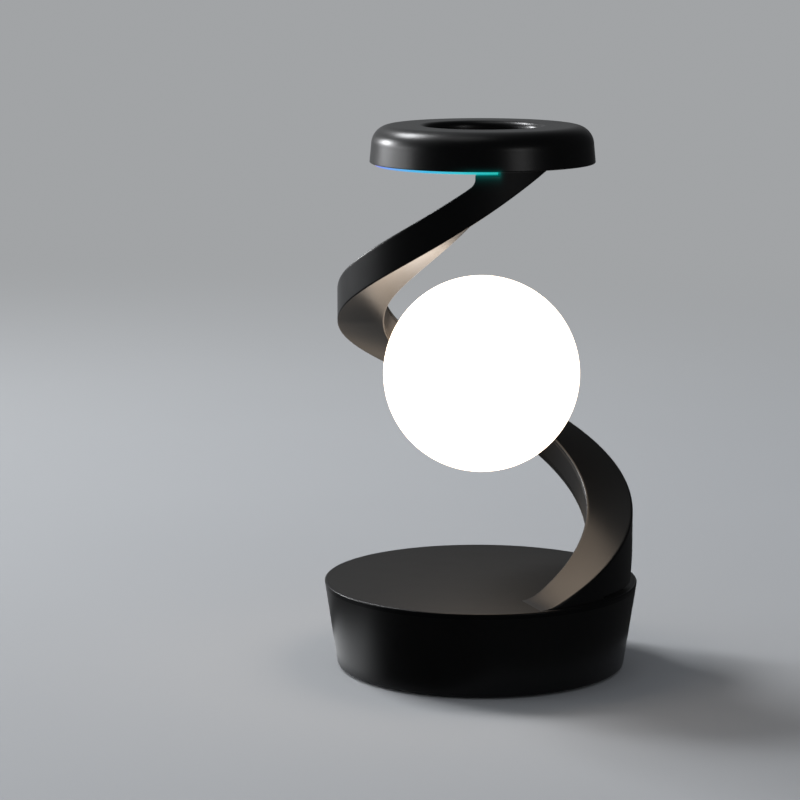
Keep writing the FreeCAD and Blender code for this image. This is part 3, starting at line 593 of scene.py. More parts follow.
def section_points(steps=4, beside=0.8):
    """Points round the section, in the order of the keys, with one beside each end of every edge."""
    rows = []
    for corner in range(4):
        side = 1 if corner in (0, 3) else -1
        lift = 1 if corner in (0, 1) else -1
        for i in range(-1, steps + 2):
            turn = math.radians(90 * (corner + min(max(i / steps, 0.0), 1.0)))
            slide = -beside if i < 0 else beside if i > steps else 0.0
            side_edge = math.cos(turn) - side - slide * math.sin(turn)
            lift_edge = math.sin(turn) - lift + slide * math.cos(turn)
            rows.append((side, side_edge, lift, lift_edge, lift < 0, 0, 0, corner == 0, 0))
        if corner == 0:
            rows += [(0, 0, 1, 0, 0, 0, 0, lowered, 1) for lowered in (1, 0)]
        if corner == 1:
            seats = ((1, 0), (1, 1), (-1, 1), (-1, 0))
            rows += [(-1, 0, 0, 0, 0, seat, shelf, 0, 0) for seat, shelf in seats]
    return rows


def table(name, keys, rows):
    """Loose points that carry one named number per column."""
    places = [(0.0, 0.0, MM * i) for i in range(len(rows))]
    columns = {key: [float(row[i]) for row in rows] for i, key in enumerate(keys)}
    return point_mesh(name, places, columns)


section_rows = section_points()
print("points round the section:", len(section_rows))

# %% The tree that lays sections along the stations
def read(tree, geometry, key, index):
    """A named number of one point."""
    value = tree.node("GeometryNodeInputNamedAttribute", {"Name": key}, data_type="FLOAT")
    return tree.node("GeometryNodeSampleIndex", {"Geometry": geometry, "Value": value, "Index": index},
                     data_type="FLOAT", domain="POINT")


def count_of(tree, geometry):
    return tree.node("GeometryNodeAttributeDomainSize", {0: geometry}, component="MESH")


def shape_of(tree, obj):
    return tree.node("GeometryNodeObjectInfo", {"Object": obj}, out="Geometry")


def set_at(tree, geometry, where):
    return tree.node("GeometryNodeSetPosition", {"Geometry": geometry, "Position": where})


def tube(tree, around, rows):
    """An open tube of quads, with the row and the place round it of each vertex."""
    grid = tree.node("GeometryNodeMeshGrid", {"Vertices X": rows, "Vertices Y": around + 1.0})
    index = tree.node("GeometryNodeInputIndex")
    row = tree.math("FLOOR", (index + 0.5) / (around + 1.0))
    place = tree.math("MODULO", index - row * (around + 1.0) + 0.25, around) - 0.25
    return grid, row, place


def laid(tree, grid, radius, degrees, level):
    """A tube's vertices put at a radius, an angle and a level, in millimetres, and its seam closed."""
    turn = degrees * (math.pi / 180)
    x, y = radius * tree.math("COSINE", turn), radius * tree.math("SINE", turn)
    placed = set_at(tree, grid, tree.vector(x * MM, y * MM, level * MM))
    return tree.node("GeometryNodeMergeByDistance", {"Geometry": placed, "Distance": 2e-6})


station_keys = ("az", "on_deck", "joined", "channel", "rebate")
lining_fit, lining_edge, lining_least, shelf_gap = 0.15, 0.25, 0.3, 0.2
edge_share, edge_lost = 0.4, 0.9   # an edge takes this share of the height at most, and fades on the deck


def arm_band(tree, given, lining):
    """The arm's skin, or the lining strip on its inner face."""
    section = shape_of(tree, given["Section"])
    grid, row, place = tube(tree, count_of(tree, section), count_of(tree, given["Geometry"]))
    az, on_deck, joined, channel, rebate = (read(tree, given["Geometry"], key, row) for key in station_keys)
    side, side_edge, lift, lift_edge, low, seat, shelf, lowered, ledge = (
        read(tree, section, key, place) for key in section_keys)
    outer, under, top = arm_laws(tree, given, az, on_deck, joined)
    inner = outer - given["Width"]
    floor = (under + given["Wall"]).at_least(given["Deck height"] + given["Floor"])
    roof = top.at_most(given["Ring height"]) - given["Wall"]
    if lining:
        under, top = floor + lining_fit, (roof - lining_fit).at_least(floor + lining_fit + lining_least)
        outer = inner + given["Lining"]
        edge = lining_edge
    else:
        edge = given["Edge"] * (1.0 - low) + given["Low edge"] * low
        edge = edge.at_most((top - under) * edge_share) * (1.0 - on_deck * low * edge_lost)
    height = top - under
    middle = (top + under) / 2
    half = (outer - inner) / 2
    radius = (outer + inner) / 2 + side * half + side_edge * edge
    level = middle + lift * height / 2 + lift_edge * edge
    if not lining:
        is_seat = tree.math("ABSOLUTE", seat)
        upper = seat.over(0.0)
        wanted = roof * upper + floor * (1.0 - upper)
        seated = middle + (wanted - middle) * channel
        level = level * (1.0 - is_seat) + seated * is_seat
        radius = radius + shelf * channel * (given["Lining"] + shelf_gap)
        inset = given["Guide inside"] - (outer + inner) / 2
        radius = radius + ledge * rebate * inset
        level = level - lowered * rebate * (given["Guide drop"] + buried_by)
    return laid(tree, grid, radius, az, level)


def arm_mesh(name, station_rows, section, look, lining=False):
    """The tree run on a table of stations and a table of section points."""
    sections = table("sections", section_keys, section)
    mesh = grown(name, lambda tree, given: arm_band(tree, given, lining), {**arm, "Section": sections},
                 look, table("stations", station_keys, station_rows))
    drop(sections)
    return settled(mesh)


# The arm's skin wears the black with the painted glow near the line's end.
piece("arm_skin", arm_mesh("arm_skin", skin_rows, section_rows, "black_with_painted_glow"), "body_black", "arm_shell")

# %% The lining strip
end_gap = 0.3
lining_rows = stations([(channel_from + end_gap, (1, 0, 1, 0)), (foot_end, (0, 0, 1, 0)),
                        (web_angle, (0, 1, 1, 0)), (channel_to - end_gap, None)])
plain_section = [row for row in section_rows if row[5] == 0 and row[8] == 0]   # no seat and no ledge
piece("arm_lining", arm_mesh("arm_lining", lining_rows, plain_section, "body_black", lining=True),
      "body_black", "arm_cover")

# %% [markdown]
# ## Turned pieces
# The base, the deck, the ring, the globe and the light guide are all round, so each
# is an outline turned about an axis.  One tree turns any outline.  The outline's
# corners are rounded first, with a point close on each side of every curve, so that
# the flat faces stay flat in the light.

# %% Outlines
def rounded(corners, steps=5, beside=0.2):
    """Points of an outline from (radius, height, edge radius) corners, in millimetres."""
    out = []
    for i, (x, y, size) in enumerate(corners):
        if size <= 0:
            out.append((x, y))
            continue
        here = Vector((x, y))
        back = Vector(corners[i - 1][:2]) - here
        ahead = Vector(corners[(i + 1) % len(corners)][:2]) - here
        angle = back.angle(ahead)
        reach = min(size / math.tan(angle / 2), 0.45 * back.length, 0.45 * ahead.length)
        radius = reach * math.tan(angle / 2)
        back, ahead = back.normalized(), ahead.normalized()
        a, b = here + back * reach, here + ahead * reach
        centre = here + (back + ahead).normalized() * (radius / math.sin(angle / 2))
        first = a - centre
        whole = first.angle_signed(b - centre)
        out.append(tuple(a + back * reach * beside))
        out += [tuple(centre + Matrix.Rotation(-whole * k / steps, 2) @ first) for k in range(steps + 1)]
        out.append(tuple(b + ahead * reach * beside))
    return out


def arc_through(first, middle, last, steps):
    """Points of the arc through three points."""
    (ax, ay), (bx, by), (cx, cy) = first, middle, last
    aa, bb, cc = ax * ax + ay * ay, bx * bx + by * by, cx * cx + cy * cy
    d = 2 * (ax * (by - cy) + bx * (cy - ay) + cx * (ay - by))
    x = (aa * (by - cy) + bb * (cy - ay) + cc * (ay - by)) / d
    y = (aa * (cx - bx) + bb * (ax - cx) + cc * (bx - ax)) / d
    start, end = math.atan2(ay - y, ax - x), math.atan2(cy - y, cx - x)
    size = math.hypot(ax - x, ay - y)
    return [(x + size * math.cos(turn), y + size * math.sin(turn)) for turn in spaced(start, end, steps)]


print("points of one rounded corner:", len(rounded([(0, 0, 1), (9, 0, 0), (0, 9, 0)])) - 2)

# %% The tree that turns an outline
def turning(tree, given):
    """A closed outline swept about the Z axis from one angle to another."""
    outline = given["Geometry"]
    grid, row, place = tube(tree, count_of(tree, outline), given["Segments"] + 1.0)
    turn = given["From angle"] + (given["To angle"] - given["From angle"]) * row / given["Segments"]
    return laid(tree, grid, read(tree, outline, "radius", place), turn, read(tree, outline, "height", place))


def turned(outline, look, segments=256, first=0.0, last=360.0):
    """A closed outline of (radius, height) points turned about the Z axis."""
    sizes = {"Segments": float(segments), "From angle": first, "To angle": last}
    return settled(grown("turned", turning, sizes, look, table("outline", ("radius", "height"), outline)))


print("outlines can be turned")

# %% [markdown]
# ## Base and deck
# The housing is one moulding that leans outwards as it rises.  Its foot edge is
# broken, and its back has a slot for the charging lead and two holes for buttons.
# The slot and holes are cut from the turned shape, as a side core in the mould does.

# %% The base housing
deck_z, deck_under, foot_z = arm["Deck height"], 39.2, 1.0
base_top_r, base_low_r, base_wall = 74.999, 68.799, 2.4
plate_r, plate_z, step_z = base_low_r - 5.8, 3.4, 5.4   # the step that the bottom plate lies in
foot_round, deck_round = 1.9, 0.75


def base_side(z):
    return base_low_r + (base_top_r - base_low_r) * (z - foot_z) / (deck_z - foot_z)


def cut_by(mesh, cutters, sharp=30.0):
    """The mesh with the cutters' shapes taken out."""
    body = linked("body", mesh)
    tools = [linked("cutter", cutter) for cutter in cutters]
    for tool in tools:
        step = body.modifiers.new("cut", "BOOLEAN")
        step.operation = "DIFFERENCE"
        step.solver = "EXACT"
        step.object = tool
    done = plain_mesh(body)
    drop(body, *tools)
    return settled(done, sharp, cap=False)


def peg(outline, start, way, look, segments=48):
    """An outline turned about any axis, for pins and for cutters."""
    mesh = turned(outline, look, segments)
    turn = Vector((0, 0, 1)).rotation_difference(Vector(way)).to_matrix().to_4x4()
    mesh.transform(Matrix.Translation(Vector(start) * MM) @ turn)
    return mesh


def bar(first_end, last_end, look):
    """A solid between two outlines with as many points, in millimetres."""
    count = len(first_end)
    points = [(x * MM, y * MM, z * MM) for x, y, z in first_end + last_end]
    faces = [[i, (i + 1) % count, count + (i + 1) % count, count + i] for i in range(count)]
    faces += [list(range(count))[::-1], list(range(count, 2 * count))]
    mesh = bpy.data.meshes.new("bar")
    mesh.from_pydata(points, [], faces)
    mesh.materials.append(finishes[look])
    return settled(mesh)


def stadium(width, height, y0, y1, z, look, steps=16):
    """A bar with round ends across X, along Y."""
    half = (width - height) / 2
    outline = []
    for side, first in ((half, -math.pi / 2), (-half, math.pi / 2)):
        outline += [(side + height / 2 * math.cos(turn), z + height / 2 * math.sin(turn))
                    for turn in spaced(first, first + math.pi, steps)]
    first_end, last_end = ([(x, y, up) for x, up in outline] for y in (y0, y1))
    return bar(first_end, last_end, look)


usb_low, usb_high = (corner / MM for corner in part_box("usb_socket"))
usb_z = (usb_low.z + usb_high.z) / 2
housing_outline = rounded([
    (base_side(foot_z) - base_wall, foot_z, 0), (base_side(foot_z), foot_z, foot_round),
    (base_side(deck_under), deck_under, 0), (base_side(deck_under) - base_wall, deck_under, 0),
    (base_side(step_z) - base_wall, step_z, 0), (plate_r, step_z, 0), (plate_r, plate_z, 0),
    (base_low_r - base_wall, plate_z, 0),
])
button_z, hole_size, hole_from, hole_length = 22.0, 4.7, 55, 40
slot_width, slot_height, slot_from, slot_to = 13.0, 7.0, 50.0, 90.0
button_ways = {key: Vector((math.cos(math.radians(angle)), math.sin(math.radians(angle)), 0))
               for key, angle in (("ring", 58), ("lamp", 122))}
cutters = [stadium(slot_width, slot_height, slot_from, slot_to, usb_z, "body_black")]
for way in button_ways.values():
    pin = [(0, 0), (hole_size, 0), (hole_size, hole_length), (0, hole_length)]
    cutters.append(peg(pin, (way.x * hole_from, way.y * hole_from, button_z), way, "body_black"))
housing_mesh = cut_by(turned(housing_outline, "body_black"), cutters)
piece("base_shell", housing_mesh, "body_black", "base_housing")

# %% The deck
deck_outline = rounded([(0, deck_under, 0), (base_side(deck_under), deck_under, 0),
                        (base_side(deck_z), deck_z, deck_round), (0, deck_z, 0)])
piece("deck_top", turned(deck_outline, "deck_black"), "deck_black", "charging_deck")

# %% [markdown]
# ## Ring
# The ring's wall leans in slightly so that it leaves the mould, and its outer
# shoulder is a generous curve that catches the light.  It is a shell, open below,
# and the light guide is a clear plastic hoop that hangs a little under its edge.

# %% Ring shell and light guide
ring_z, ring_h, ring_r, hole_r, wall = arm["Ring height"], 17.5, 53.1, 26.9, 2.0
shoulder, shoulder_w, draft, lip, low_round = 8.8, 9.1, 0.8, 3.0, 0.4
shoulder_in, shoulder_down, lip_in = 0.26, 0.33, 0.293   # where the curves' middles lie, as shares
wall_r = ring_r - draft
flat_r = wall_r - shoulder_w
beside = 0.6   # an extra point this far beside each curve keeps the flats flat
shoulder_middle = (wall_r - shoulder_in * shoulder_w, ring_h - shoulder_down * shoulder)
lip_middle = (hole_r + lip_in * lip, ring_h - lip_in * lip)
outer_arc = arc_through((wall_r, ring_h - shoulder), shoulder_middle, (flat_r, ring_h), 16)
inner_arc = arc_through((hole_r + lip, ring_h), lip_middle, (hole_r, ring_h - lip), 10)
outside = [(ring_r - low_round, 0.0), (ring_r, low_round), (wall_r + 0.05, ring_h - shoulder - 0.5),
           *outer_arc, (flat_r - beside, ring_h), (hole_r + lip + beside, ring_h), *inner_arc,
           (hole_r, ring_h - lip - beside), (hole_r, low_round), (hole_r + low_round, 0.0)]
inside = [(hole_r + wall, 0.0), (hole_r + wall, ring_h - wall - beside),
          (hole_r + wall + beside, ring_h - wall), (flat_r, ring_h - wall),
          (wall_r - wall, ring_h - shoulder - wall), (ring_r - wall, 0.0)]
ring_outline = [(r, ring_z + z) for r, z in outside + inside]
# The ring's skin wears the black with the painted glow near the line's end.
piece("ring_skin", turned(ring_outline, "black_with_painted_glow"), "body_black", "ring_shell")

guide_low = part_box("light_guide")[0].z / MM
guide_out, guide_w, guide_h, guide_round = 50.66, 2.3, 4.0, 0.5
guide_in, guide_top = guide_out - guide_w, guide_low + guide_h
guide_outline = rounded([(guide_in, guide_low, guide_round), (guide_out, guide_low, guide_round),
                         (guide_out, guide_top, 0), (guide_in, guide_top, 0)], 3)
piece("light_line", turned(guide_outline, "guide", 216, line_from, line_end), "guide", "light_guide")

# %% [markdown]
# ## Globe
# The globe is blown or moulded in two halves and welded, then polished, so it shows
# no seam.  It is a true hollow ball with a round opening for its collar, turned about
# the axis of the magnetic seat.

# %% The globe's shade
def ball_outline(outer_r, inner_r, open_r, steps=72):
    """A hollow ball with an opening at the top of its axis."""
    def arc(radius):
        turns = spaced(math.pi, math.asin(open_r / radius), steps)
        return [(radius * math.sin(turn), radius * math.cos(turn)) for turn in turns]
    return arc(outer_r) + arc(inner_r)[::-1]


globe_wall, globe_opening = 2.0, 14.2
globe_mesh = peg(ball_outline(globe_r / MM, globe_r / MM - globe_wall, globe_opening),
                 globe_centre / MM, seat_way, "opal", 144)
piece("globe_ball", globe_mesh, "opal", "globe_shade", body="globe")

# %% [markdown]
# ## Buttons
# Two round keys sit in the back of the base, one for the globe and one for the ring.
# Each is moulded in one piece with a flange that stops it from falling out and a stem
# that works the switch.  The top is dished, so that a finger finds it without looking,
# and a mark tells the two apart by touch: a dot for the globe, a circle for the ring.

# %% Keys
flange_in, flange_out, stem_tip = 67.14, 68.44, 62.74   # from the lamp's axis
stem_r, flange_r, cap_r, dish_r = 1.7, 5.6, 4.5, 3.9
stem_round, flange_round, cap_round = 0.3, 0.2, 0.45
key_face = base_side(button_z) + 1.0
dish_depth, mark_depth = 0.4, 0.16
mark_slope, mark_clear = 0.06, 0.12


def dish(r):
    """Height of the dished top at radius r."""
    return key_face - dish_depth * (1.0 - min(r / dish_r, 1.0) ** 2)


def key_outline(mark_in, mark_out):
    """Stem, flange and dished cap, with a groove between two radii."""
    body = rounded([
        (0, stem_tip, 0), (stem_r, stem_tip, stem_round), (stem_r, flange_in, 0),
        (flange_r, flange_in, flange_round), (flange_r, flange_out, flange_round),
        (cap_r, flange_out, 0), (cap_r, key_face, cap_round)], 4)
    top = [dish_r * (1.0 - i / 16) for i in range(16)]
    top = [(r, dish(r)) for r in top if not mark_in - mark_clear < r < mark_out + mark_clear]
    top += [(mark_out + mark_slope, dish(mark_out)), (mark_out, dish(mark_out) - mark_depth)]
    if mark_in > 0:
        top += [(mark_in, dish(mark_in) - mark_depth), (mark_in - mark_slope, dish(mark_in))]
    cap = sorted(top, key=lambda point: -point[0])
    return body + cap + [(0, dish(0) - (0 if mark_in > 0 else mark_depth))]


for key, mark in (("ring", (1.75, 2.15)), ("lamp", (0.0, 0.6))):
    key_mesh = peg(key_outline(*mark), (0, 0, button_z), button_ways[key], "button", 72)
    piece(key + "_key_cap", settled(key_mesh, 30.0, cap=False), "button", key + "_button", body=key + "_key")

# %% [markdown]
# ## Charging socket
# A USB-C socket is a deep-drawn steel shell, rolled to a flat oval, round a plastic
# tongue that carries gold pads on both faces.  The shell is an oval bar with an oval
# cavity cut from it; the pads repeat, so a tree lays one pad at every pitch.

# %% Shell and tongue
usb_front, usb_back = usb_high.y, usb_low.y
usb_width, usb_height = usb_high.x - usb_low.x, usb_high.z - usb_low.z
twice = 2 * 0.3   # the sheet's thickness on both sides
back_wall, mouth = 1.0, 1.0   # the cavity stops short of the back and runs out past the front
tongue_width, tongue_height, tongue_start, tongue_inset = 6.69, 0.68, 0.8, 1.4
usb_bar = stadium(usb_width, usb_height, usb_back, usb_front, usb_z, "steel")
usb_core = stadium(usb_width - twice, usb_height - twice, usb_back + back_wall, usb_front + mouth, usb_z,
                   "steel")
piece("usb_shell", cut_by(usb_bar, [usb_core]), "steel", "usb_socket")
tongue_front = usb_front - tongue_inset
tongue_mesh = stadium(tongue_width, tongue_height, usb_back + tongue_start, tongue_front, usb_z,
                      "inner_plastic", 4)
piece("usb_tongue", tongue_mesh, "inner_plastic", "usb_socket")

# %% Rows of pads
def copies(tree, points, shape, **extra):
    """One copy of a shape on every point."""
    return tree.node("GeometryNodeInstanceOnPoints", {"Points": points, "Instance": shape, **extra})


def pads(tree, given):
    """Flat pads in a row along X, on both faces of the tongue."""
    count = given["Pads"]
    line = tree.node("GeometryNodeMeshLine", {"Count": count * 2.0})
    index = tree.node("GeometryNodeInputIndex")
    face = tree.math("FLOOR", (index + 0.5) / count)
    step = index - face * count - (count - 1.0) / 2
    where = tree.vector(step * given["Pitch"], given["Front"] - given["Length"] / 2,
                        given["Height"] + (1.0 - 2.0 * face) * given["Lift"])
    size = tree.vector(given["Width"], given["Length"], given["Thickness"])
    return copies(tree, set_at(tree, line, where), tree.node("GeometryNodeMeshCube", {"Size": size}))


pad_sizes = {"Pitch": 0.5, "Width": 0.26, "Length": 3.2, "Thickness": 0.05, "Lift": 0.35,
             "Height": usb_z, "Front": tongue_front - 0.5}
pad_sizes = {"Pads": 12.0, **{key: size * MM for key, size in pad_sizes.items()}}
pads_mesh = settled(grown("usb_pads", pads, pad_sizes, "contact"), cap=False)
piece("usb_pads", pads_mesh, "contact", "usb_socket")

# %% [markdown]
# ## Foot ring
# The lamp stands on a ring of soft rubber pressed into a groove.  Fine ribs across it
# let air out, so that it grips a smooth table.  One half-round rib is made in mesh
# code, and a tree sets it at equal steps round the ring.

# %% The ribbed ring
foot_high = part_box("foot_ring")[1] / MM
foot_width, tread_round = 7.0, 0.5
foot_out_r, foot_in_r, foot_top = foot_high.x, foot_high.x - foot_width, foot_high.z
rib_length, rib_width, rib_height = 6.2, 1.5, 0.4
tread_z = 0.6 * rib_height
foot_outline = rounded([(foot_in_r, tread_z, tread_round), (foot_out_r, tread_z, tread_round),
                        (foot_out_r, foot_top, 0), (foot_in_r, foot_top, 0)], 4)
piece("foot_tread", turned(foot_outline, "rubber", 192), "rubber", "foot_ring")


def half_round(length, width, height, look, steps=6):
    """A bar along X with a round underside, its flat top at height."""
    turns = spaced(0.0, math.pi, steps)
    arc = [(-width / 2 * math.cos(turn), height * (1.0 - math.sin(turn))) for turn in turns]
    first_end, last_end = ([(x, y, z) for y, z in arc] for x in (-length / 2, length / 2))
    return bar(first_end, last_end, look)


def ribs(tree, given):
    """A rib at every step round the ring."""
    line = tree.node("GeometryNodeMeshLine", {"Count": given["Ribs"]})
    turn = tree.node("GeometryNodeInputIndex") * (2 * math.pi) / given["Ribs"]
    x, y = (given["Ring radius"] * tree.math(way, turn) for way in ("COSINE", "SINE"))
    return copies(tree, set_at(tree, line, tree.vector(x, y, 0.0)), shape_of(tree, given["Rib"]),
                  Rotation=tree.vector(0.0, 0.0, turn))


rib = linked("rib", half_round(rib_length, rib_width, rib_height, "rubber"))
rib_sizes = {"Ribs": 120.0, "Ring radius": (foot_out_r + foot_in_r) / 2 * MM, "Rib": rib}
ribs_mesh = settled(grown("foot_ribs", ribs, rib_sizes, "rubber"), cap=False)
drop(rib)
piece("foot_ribs", ribs_mesh, "rubber", "foot_ring")

# %% [markdown]
# ## Screws
# Every screw is a rolled steel pin: a pan head with a hexagon socket, and a thread.
# The solids already say where each one sits and how big it is, so a helper measures
# them: it splits a node into its separate screws and reads the head and the shank of
# each.  One screw is turned and its socket cut, and a tree sets it at every place.

# %% Measure the screws
def islands(obj):
    """The separate solids of a node, each as a list of points in millimetres."""
    work = bmesh.new()
    work.from_mesh(obj.data)
    bmesh.ops.remove_doubles(work, verts=work.verts, dist=1e-6)
    waiting, groups = set(work.verts), []
    while waiting:
        stack = [min(waiting, key=lambda vert: vert.index)]
        waiting.discard(stack[0])
        found = []
        while stack:
            vert = stack.pop()
            found.append(vert.co / MM)
            for edge in vert.link_edges:
                other = edge.other_vert(vert)
                if other in waiting:
                    waiting.discard(other)
                    stack.append(other)
        groups.append(found)
    work.free()
    return groups


def measured(points, axis, near=0.05):
    """Where a screw's head starts, which way it points, and its sizes."""
    along = [point.dot(axis) for point in points]
    low, high = min(along), max(along)
    flat = [point - axis * point.dot(axis) for point in points]
    centre = sum(flat, Vector()) / len(flat)
    size = [(point - centre).length for point in flat]
    first = max(s for s, t in zip(size, along) if t < low + near)
    last = max(s for s, t in zip(size, along) if t > high - near)
    way, start = (axis, low) if first > last else (-axis, high)
    head_r, shank_r = max(first, last), min(first, last)
    head_t = max(abs(t - start) for s, t in zip(size, along) if s > 0.9 * head_r)
    return centre + axis * start, way, head_r, head_t, shank_r, high - low


print("solids of base_screws:", len(islands(nodes["base_screws"])))

# %% Turn one screw and set it everywhere
def screw_mesh(head_r, head_t, shank_r, length, pitch=0.6):
    """A pan-head screw along +Z, its head's top at the origin."""
    crown = min(0.45 * head_t, 0.7)
    outline = rounded([(0, 0, 0), (head_r, 0, crown), (head_r, head_t, 0.1), (shank_r, head_t, 0)], 4)[:-1]
    depth = 0.16 * shank_r
    z = head_t + 0.01
    outline.append((shank_r - depth, z))
    while z + pitch < length - pitch:
        outline += [(shank_r, z + 0.45 * pitch), (shank_r, z + 0.55 * pitch), (shank_r - depth, z + pitch)]
        z += pitch
    outline += [(shank_r - 1.5 * depth, length), (0, length)]
    socket_r, socket_z = 0.62 * shank_r, 0.55 * head_t
    socket = turned([(0, -1.0), (socket_r, -1.0), (socket_r, socket_z), (0, socket_z)], "steel", 6)
    return cut_by(turned(outline, "steel", 40), [socket], 40.0)


def set_screws(tree, given):
    """One screw on every point, turned to its own axis."""
    index = tree.node("GeometryNodeInputIndex")
    axis = tree.vector(*(read(tree, given["Geometry"], key, index) for key in axis_keys))
    turn = tree.node("FunctionNodeAlignRotationToVector", {"Vector": axis}, axis="Z")
    return copies(tree, given["Geometry"], shape_of(tree, given["Screw"]), Rotation=turn)


axis_keys = ("axis_x", "axis_y", "axis_z")


def screws(name, node, axis=Vector((0, 0, 1))):
    """Threaded screws in place of the plain ones of a node."""
    found = [measured(points, axis) for points in islands(nodes[node])]
    sizes = found[0][2:]
    screw = linked("screw", screw_mesh(*sizes))
    ways = {key: [way[i] for _, way, *_ in found] for i, key in enumerate(axis_keys)}
    points = point_mesh(name, [tuple(start * MM) for start, *_ in found], ways)
    mesh = grown("screws", set_screws, {"Screw": screw}, "steel", points)
    drop(screw)
    piece(name, settled(mesh, 40.0, cap=False), "steel", node)
    print("   ", len(found), "screws: head radius, head height, shank radius, length:",
          [round(size, 2) for size in sizes])


for node in ("base_screws", "ballast_screws", "root_screws", "end_screws"):
    screws(node.replace("screws", "bolts"), node)
screws("seat_bolt", "seat_screw", seat_way)

# %% [markdown]
# ## Charging coil
# The coil is stranded copper wire wound in a flat spiral and bonded to its ferrite.
# A Spiral curve with an oval section gives the winding, and its ends stay at the
# inner and outer turns.

# %% The winding
def winding(tree, given):
    spiral = tree.node("GeometryNodeCurveSpiral", {
        "Resolution": 96, "Rotations": given["Turns"], "Start Radius": given["Inner radius"],
        "End Radius": given["Outer radius"], "Height": 0.0})
    section = tree.node("GeometryNodeCurvePrimitiveCircle", {"Resolution": 8, "Radius": given["Wire"]})
    wire = tree.node("GeometryNodeCurveToMesh", {
        "Curve": spiral, "Profile Curve": section, "Fill Caps": True})
    return tree.node("GeometryNodeTransform", {
        "Geometry": wire, "Translation": tree.vector(0.0, 0.0, given["Level"]),
        "Scale": tree.vector(1.0, 1.0, given["Flatten"])})


coil_sizes = {"Turns": 10.0, "Inner radius": 10.6 * MM, "Outer radius": 21.4 * MM, "Wire": 0.53 * MM,
              "Flatten": 1.45, "Level": 38.4 * MM}
coil_mesh = settled(grown("winding", winding, coil_sizes, "copper"), 60.0)
piece("coil_winding", coil_mesh, "copper", "charging_coil")

# %% [markdown]
# ## Studio
# A pale floor runs back without an edge: far from the lamp it turns into the colour
# of the backdrop, for the camera and the gloss only, so it throws no extra light.
# A window of two panes stands at the back left, a low one and a high one, which draw
# the two highlights on the ring's left shoulder, and a long low panel beside them
# lights its wall.  Gloss sees a painted reflection on the floor round the lamp: it is
# painted dark, with two painted pools of light, the window's beside the base and the
# globe's warm one behind it, and painted dark on the right, where there is only a weak fill.

# %% The backdrop
backdrop = (0.36, 0.37, 0.38)
window_angle = math.radians(140.0)
shade_most, shade_lost, shade_least = 0.95, 0.8, 0.05   # how dark gloss sees it away from the window
seen_directly = ("Is Camera Ray", "Is Glossy Ray", "Is Transmission Ray")


def rays(tree, *kinds):
    """1 for the named kinds of ray, 0 for the others."""
    total, *others = (tree.node("ShaderNodeLightPath", out=kind) for kind in kinds)
    for other in others:
        total = total.at_least(other)
    return total


def facing(x, y, angle):
    """1 towards an angle round Z, -1 away from it."""
    return (x * math.cos(angle) + y * math.sin(angle)) / off_axis(x, y).at_least(0.001)


def times(factor, colour):
    return tuple(factor * c for c in colour)


def backdrop_colour(tree, x, y):
    """The backdrop, with a painted shade that gloss sees on the side away from the window."""
    shade = shade_most - shade_lost * facing(x, y, window_angle).rises(0.1, 0.9)
    return mixed(tree, shade * rays(tree, "Is Glossy Ray"), backdrop, times(shade_least, backdrop))


print("backdrop colour:", backdrop)

# %% The painted dark floor reflection and its painted pools of light
# Each edge says where a change starts and over how far it goes, in metres.
# painted reflection: gloss rays see these painted dark areas and painted pools of light on the floor
painted_dark_front, painted_dark_far = (0.06, 0.04), (0.24, 0.06)      # dark in front, and again far from the lamp
painted_dark_paler, painted_dark_end = (0.20, 0.08), (0.6, 0.5)        # paler from here, and gone at the end
pool_front, pool_back = (-0.06, 0.03), (0.03, 0.03)      # the window's pool, along Y
pool_inner, pool_outer = (0.04, 0.02), (0.092, 0.05)     # and outwards from the base
pool_slant, pool_light = 0.15, 2.9
painted_dark_colour, painted_dark_cover, painted_dark_lift = (0.01, 0.01, 0.01), 0.92, 0.35
glow_front, glow_back, glow_side = (0.145, 0.07), (0.25, 0.05), (0.04, 0.04)   # the globe's pool
glow_x, glow_colour = -0.09, (0.95, 0.78, 0.62)


def floor_in_gloss(tree, x, y, right):
    """What gloss sees of the floor: painted dark, with two painted pools of light."""
    radius = off_axis(x, y)
    dark = y.falls(*painted_dark_front).at_least(radius.rises(*painted_dark_far))
    dark = dark * radius.falls(*painted_dark_end) * (1.0 - right)
    dark = dark * (painted_dark_cover - painted_dark_lift * radius.rises(*painted_dark_paler))
    unlit = mixed(tree, dark, backdrop_colour(tree, x, y), painted_dark_colour)
    pool = y.rises(*pool_front) * y.falls(*pool_back)
    pool = pool * (-x).rises(*pool_inner) * (pool_slant * y - x).falls(*pool_outer)
    lit = mixed(tree, pool, unlit, times(pool_light, backdrop))
    aside = tree.math("ABSOLUTE", x - glow_x)
    glow = y.rises(*glow_front) * y.falls(*glow_back) * aside.falls(*glow_side)
    return mixed(tree, glow, lit, glow_colour)


print("the globe's pool of light is at x = %.2f m" % glow_x)

# %% Floor and world
def floor_rule(tree, point):
    slow = noise(tree, point, 3.0)
    return {"Base Color": mixed(tree, slow, (0.35, 0.36, 0.37), (0.37, 0.38, 0.39)), "Roughness": 0.9,
            "Specular IOR Level": 0.1}


floor_size, fade_from, fade_to = 40.0, 0.30, 1.7
right_side = (-0.03, 0.05)
foot_edge, wider_right, edge_over = 0.069, 0.020, 0.010   # gloss sees the real floor only under the base


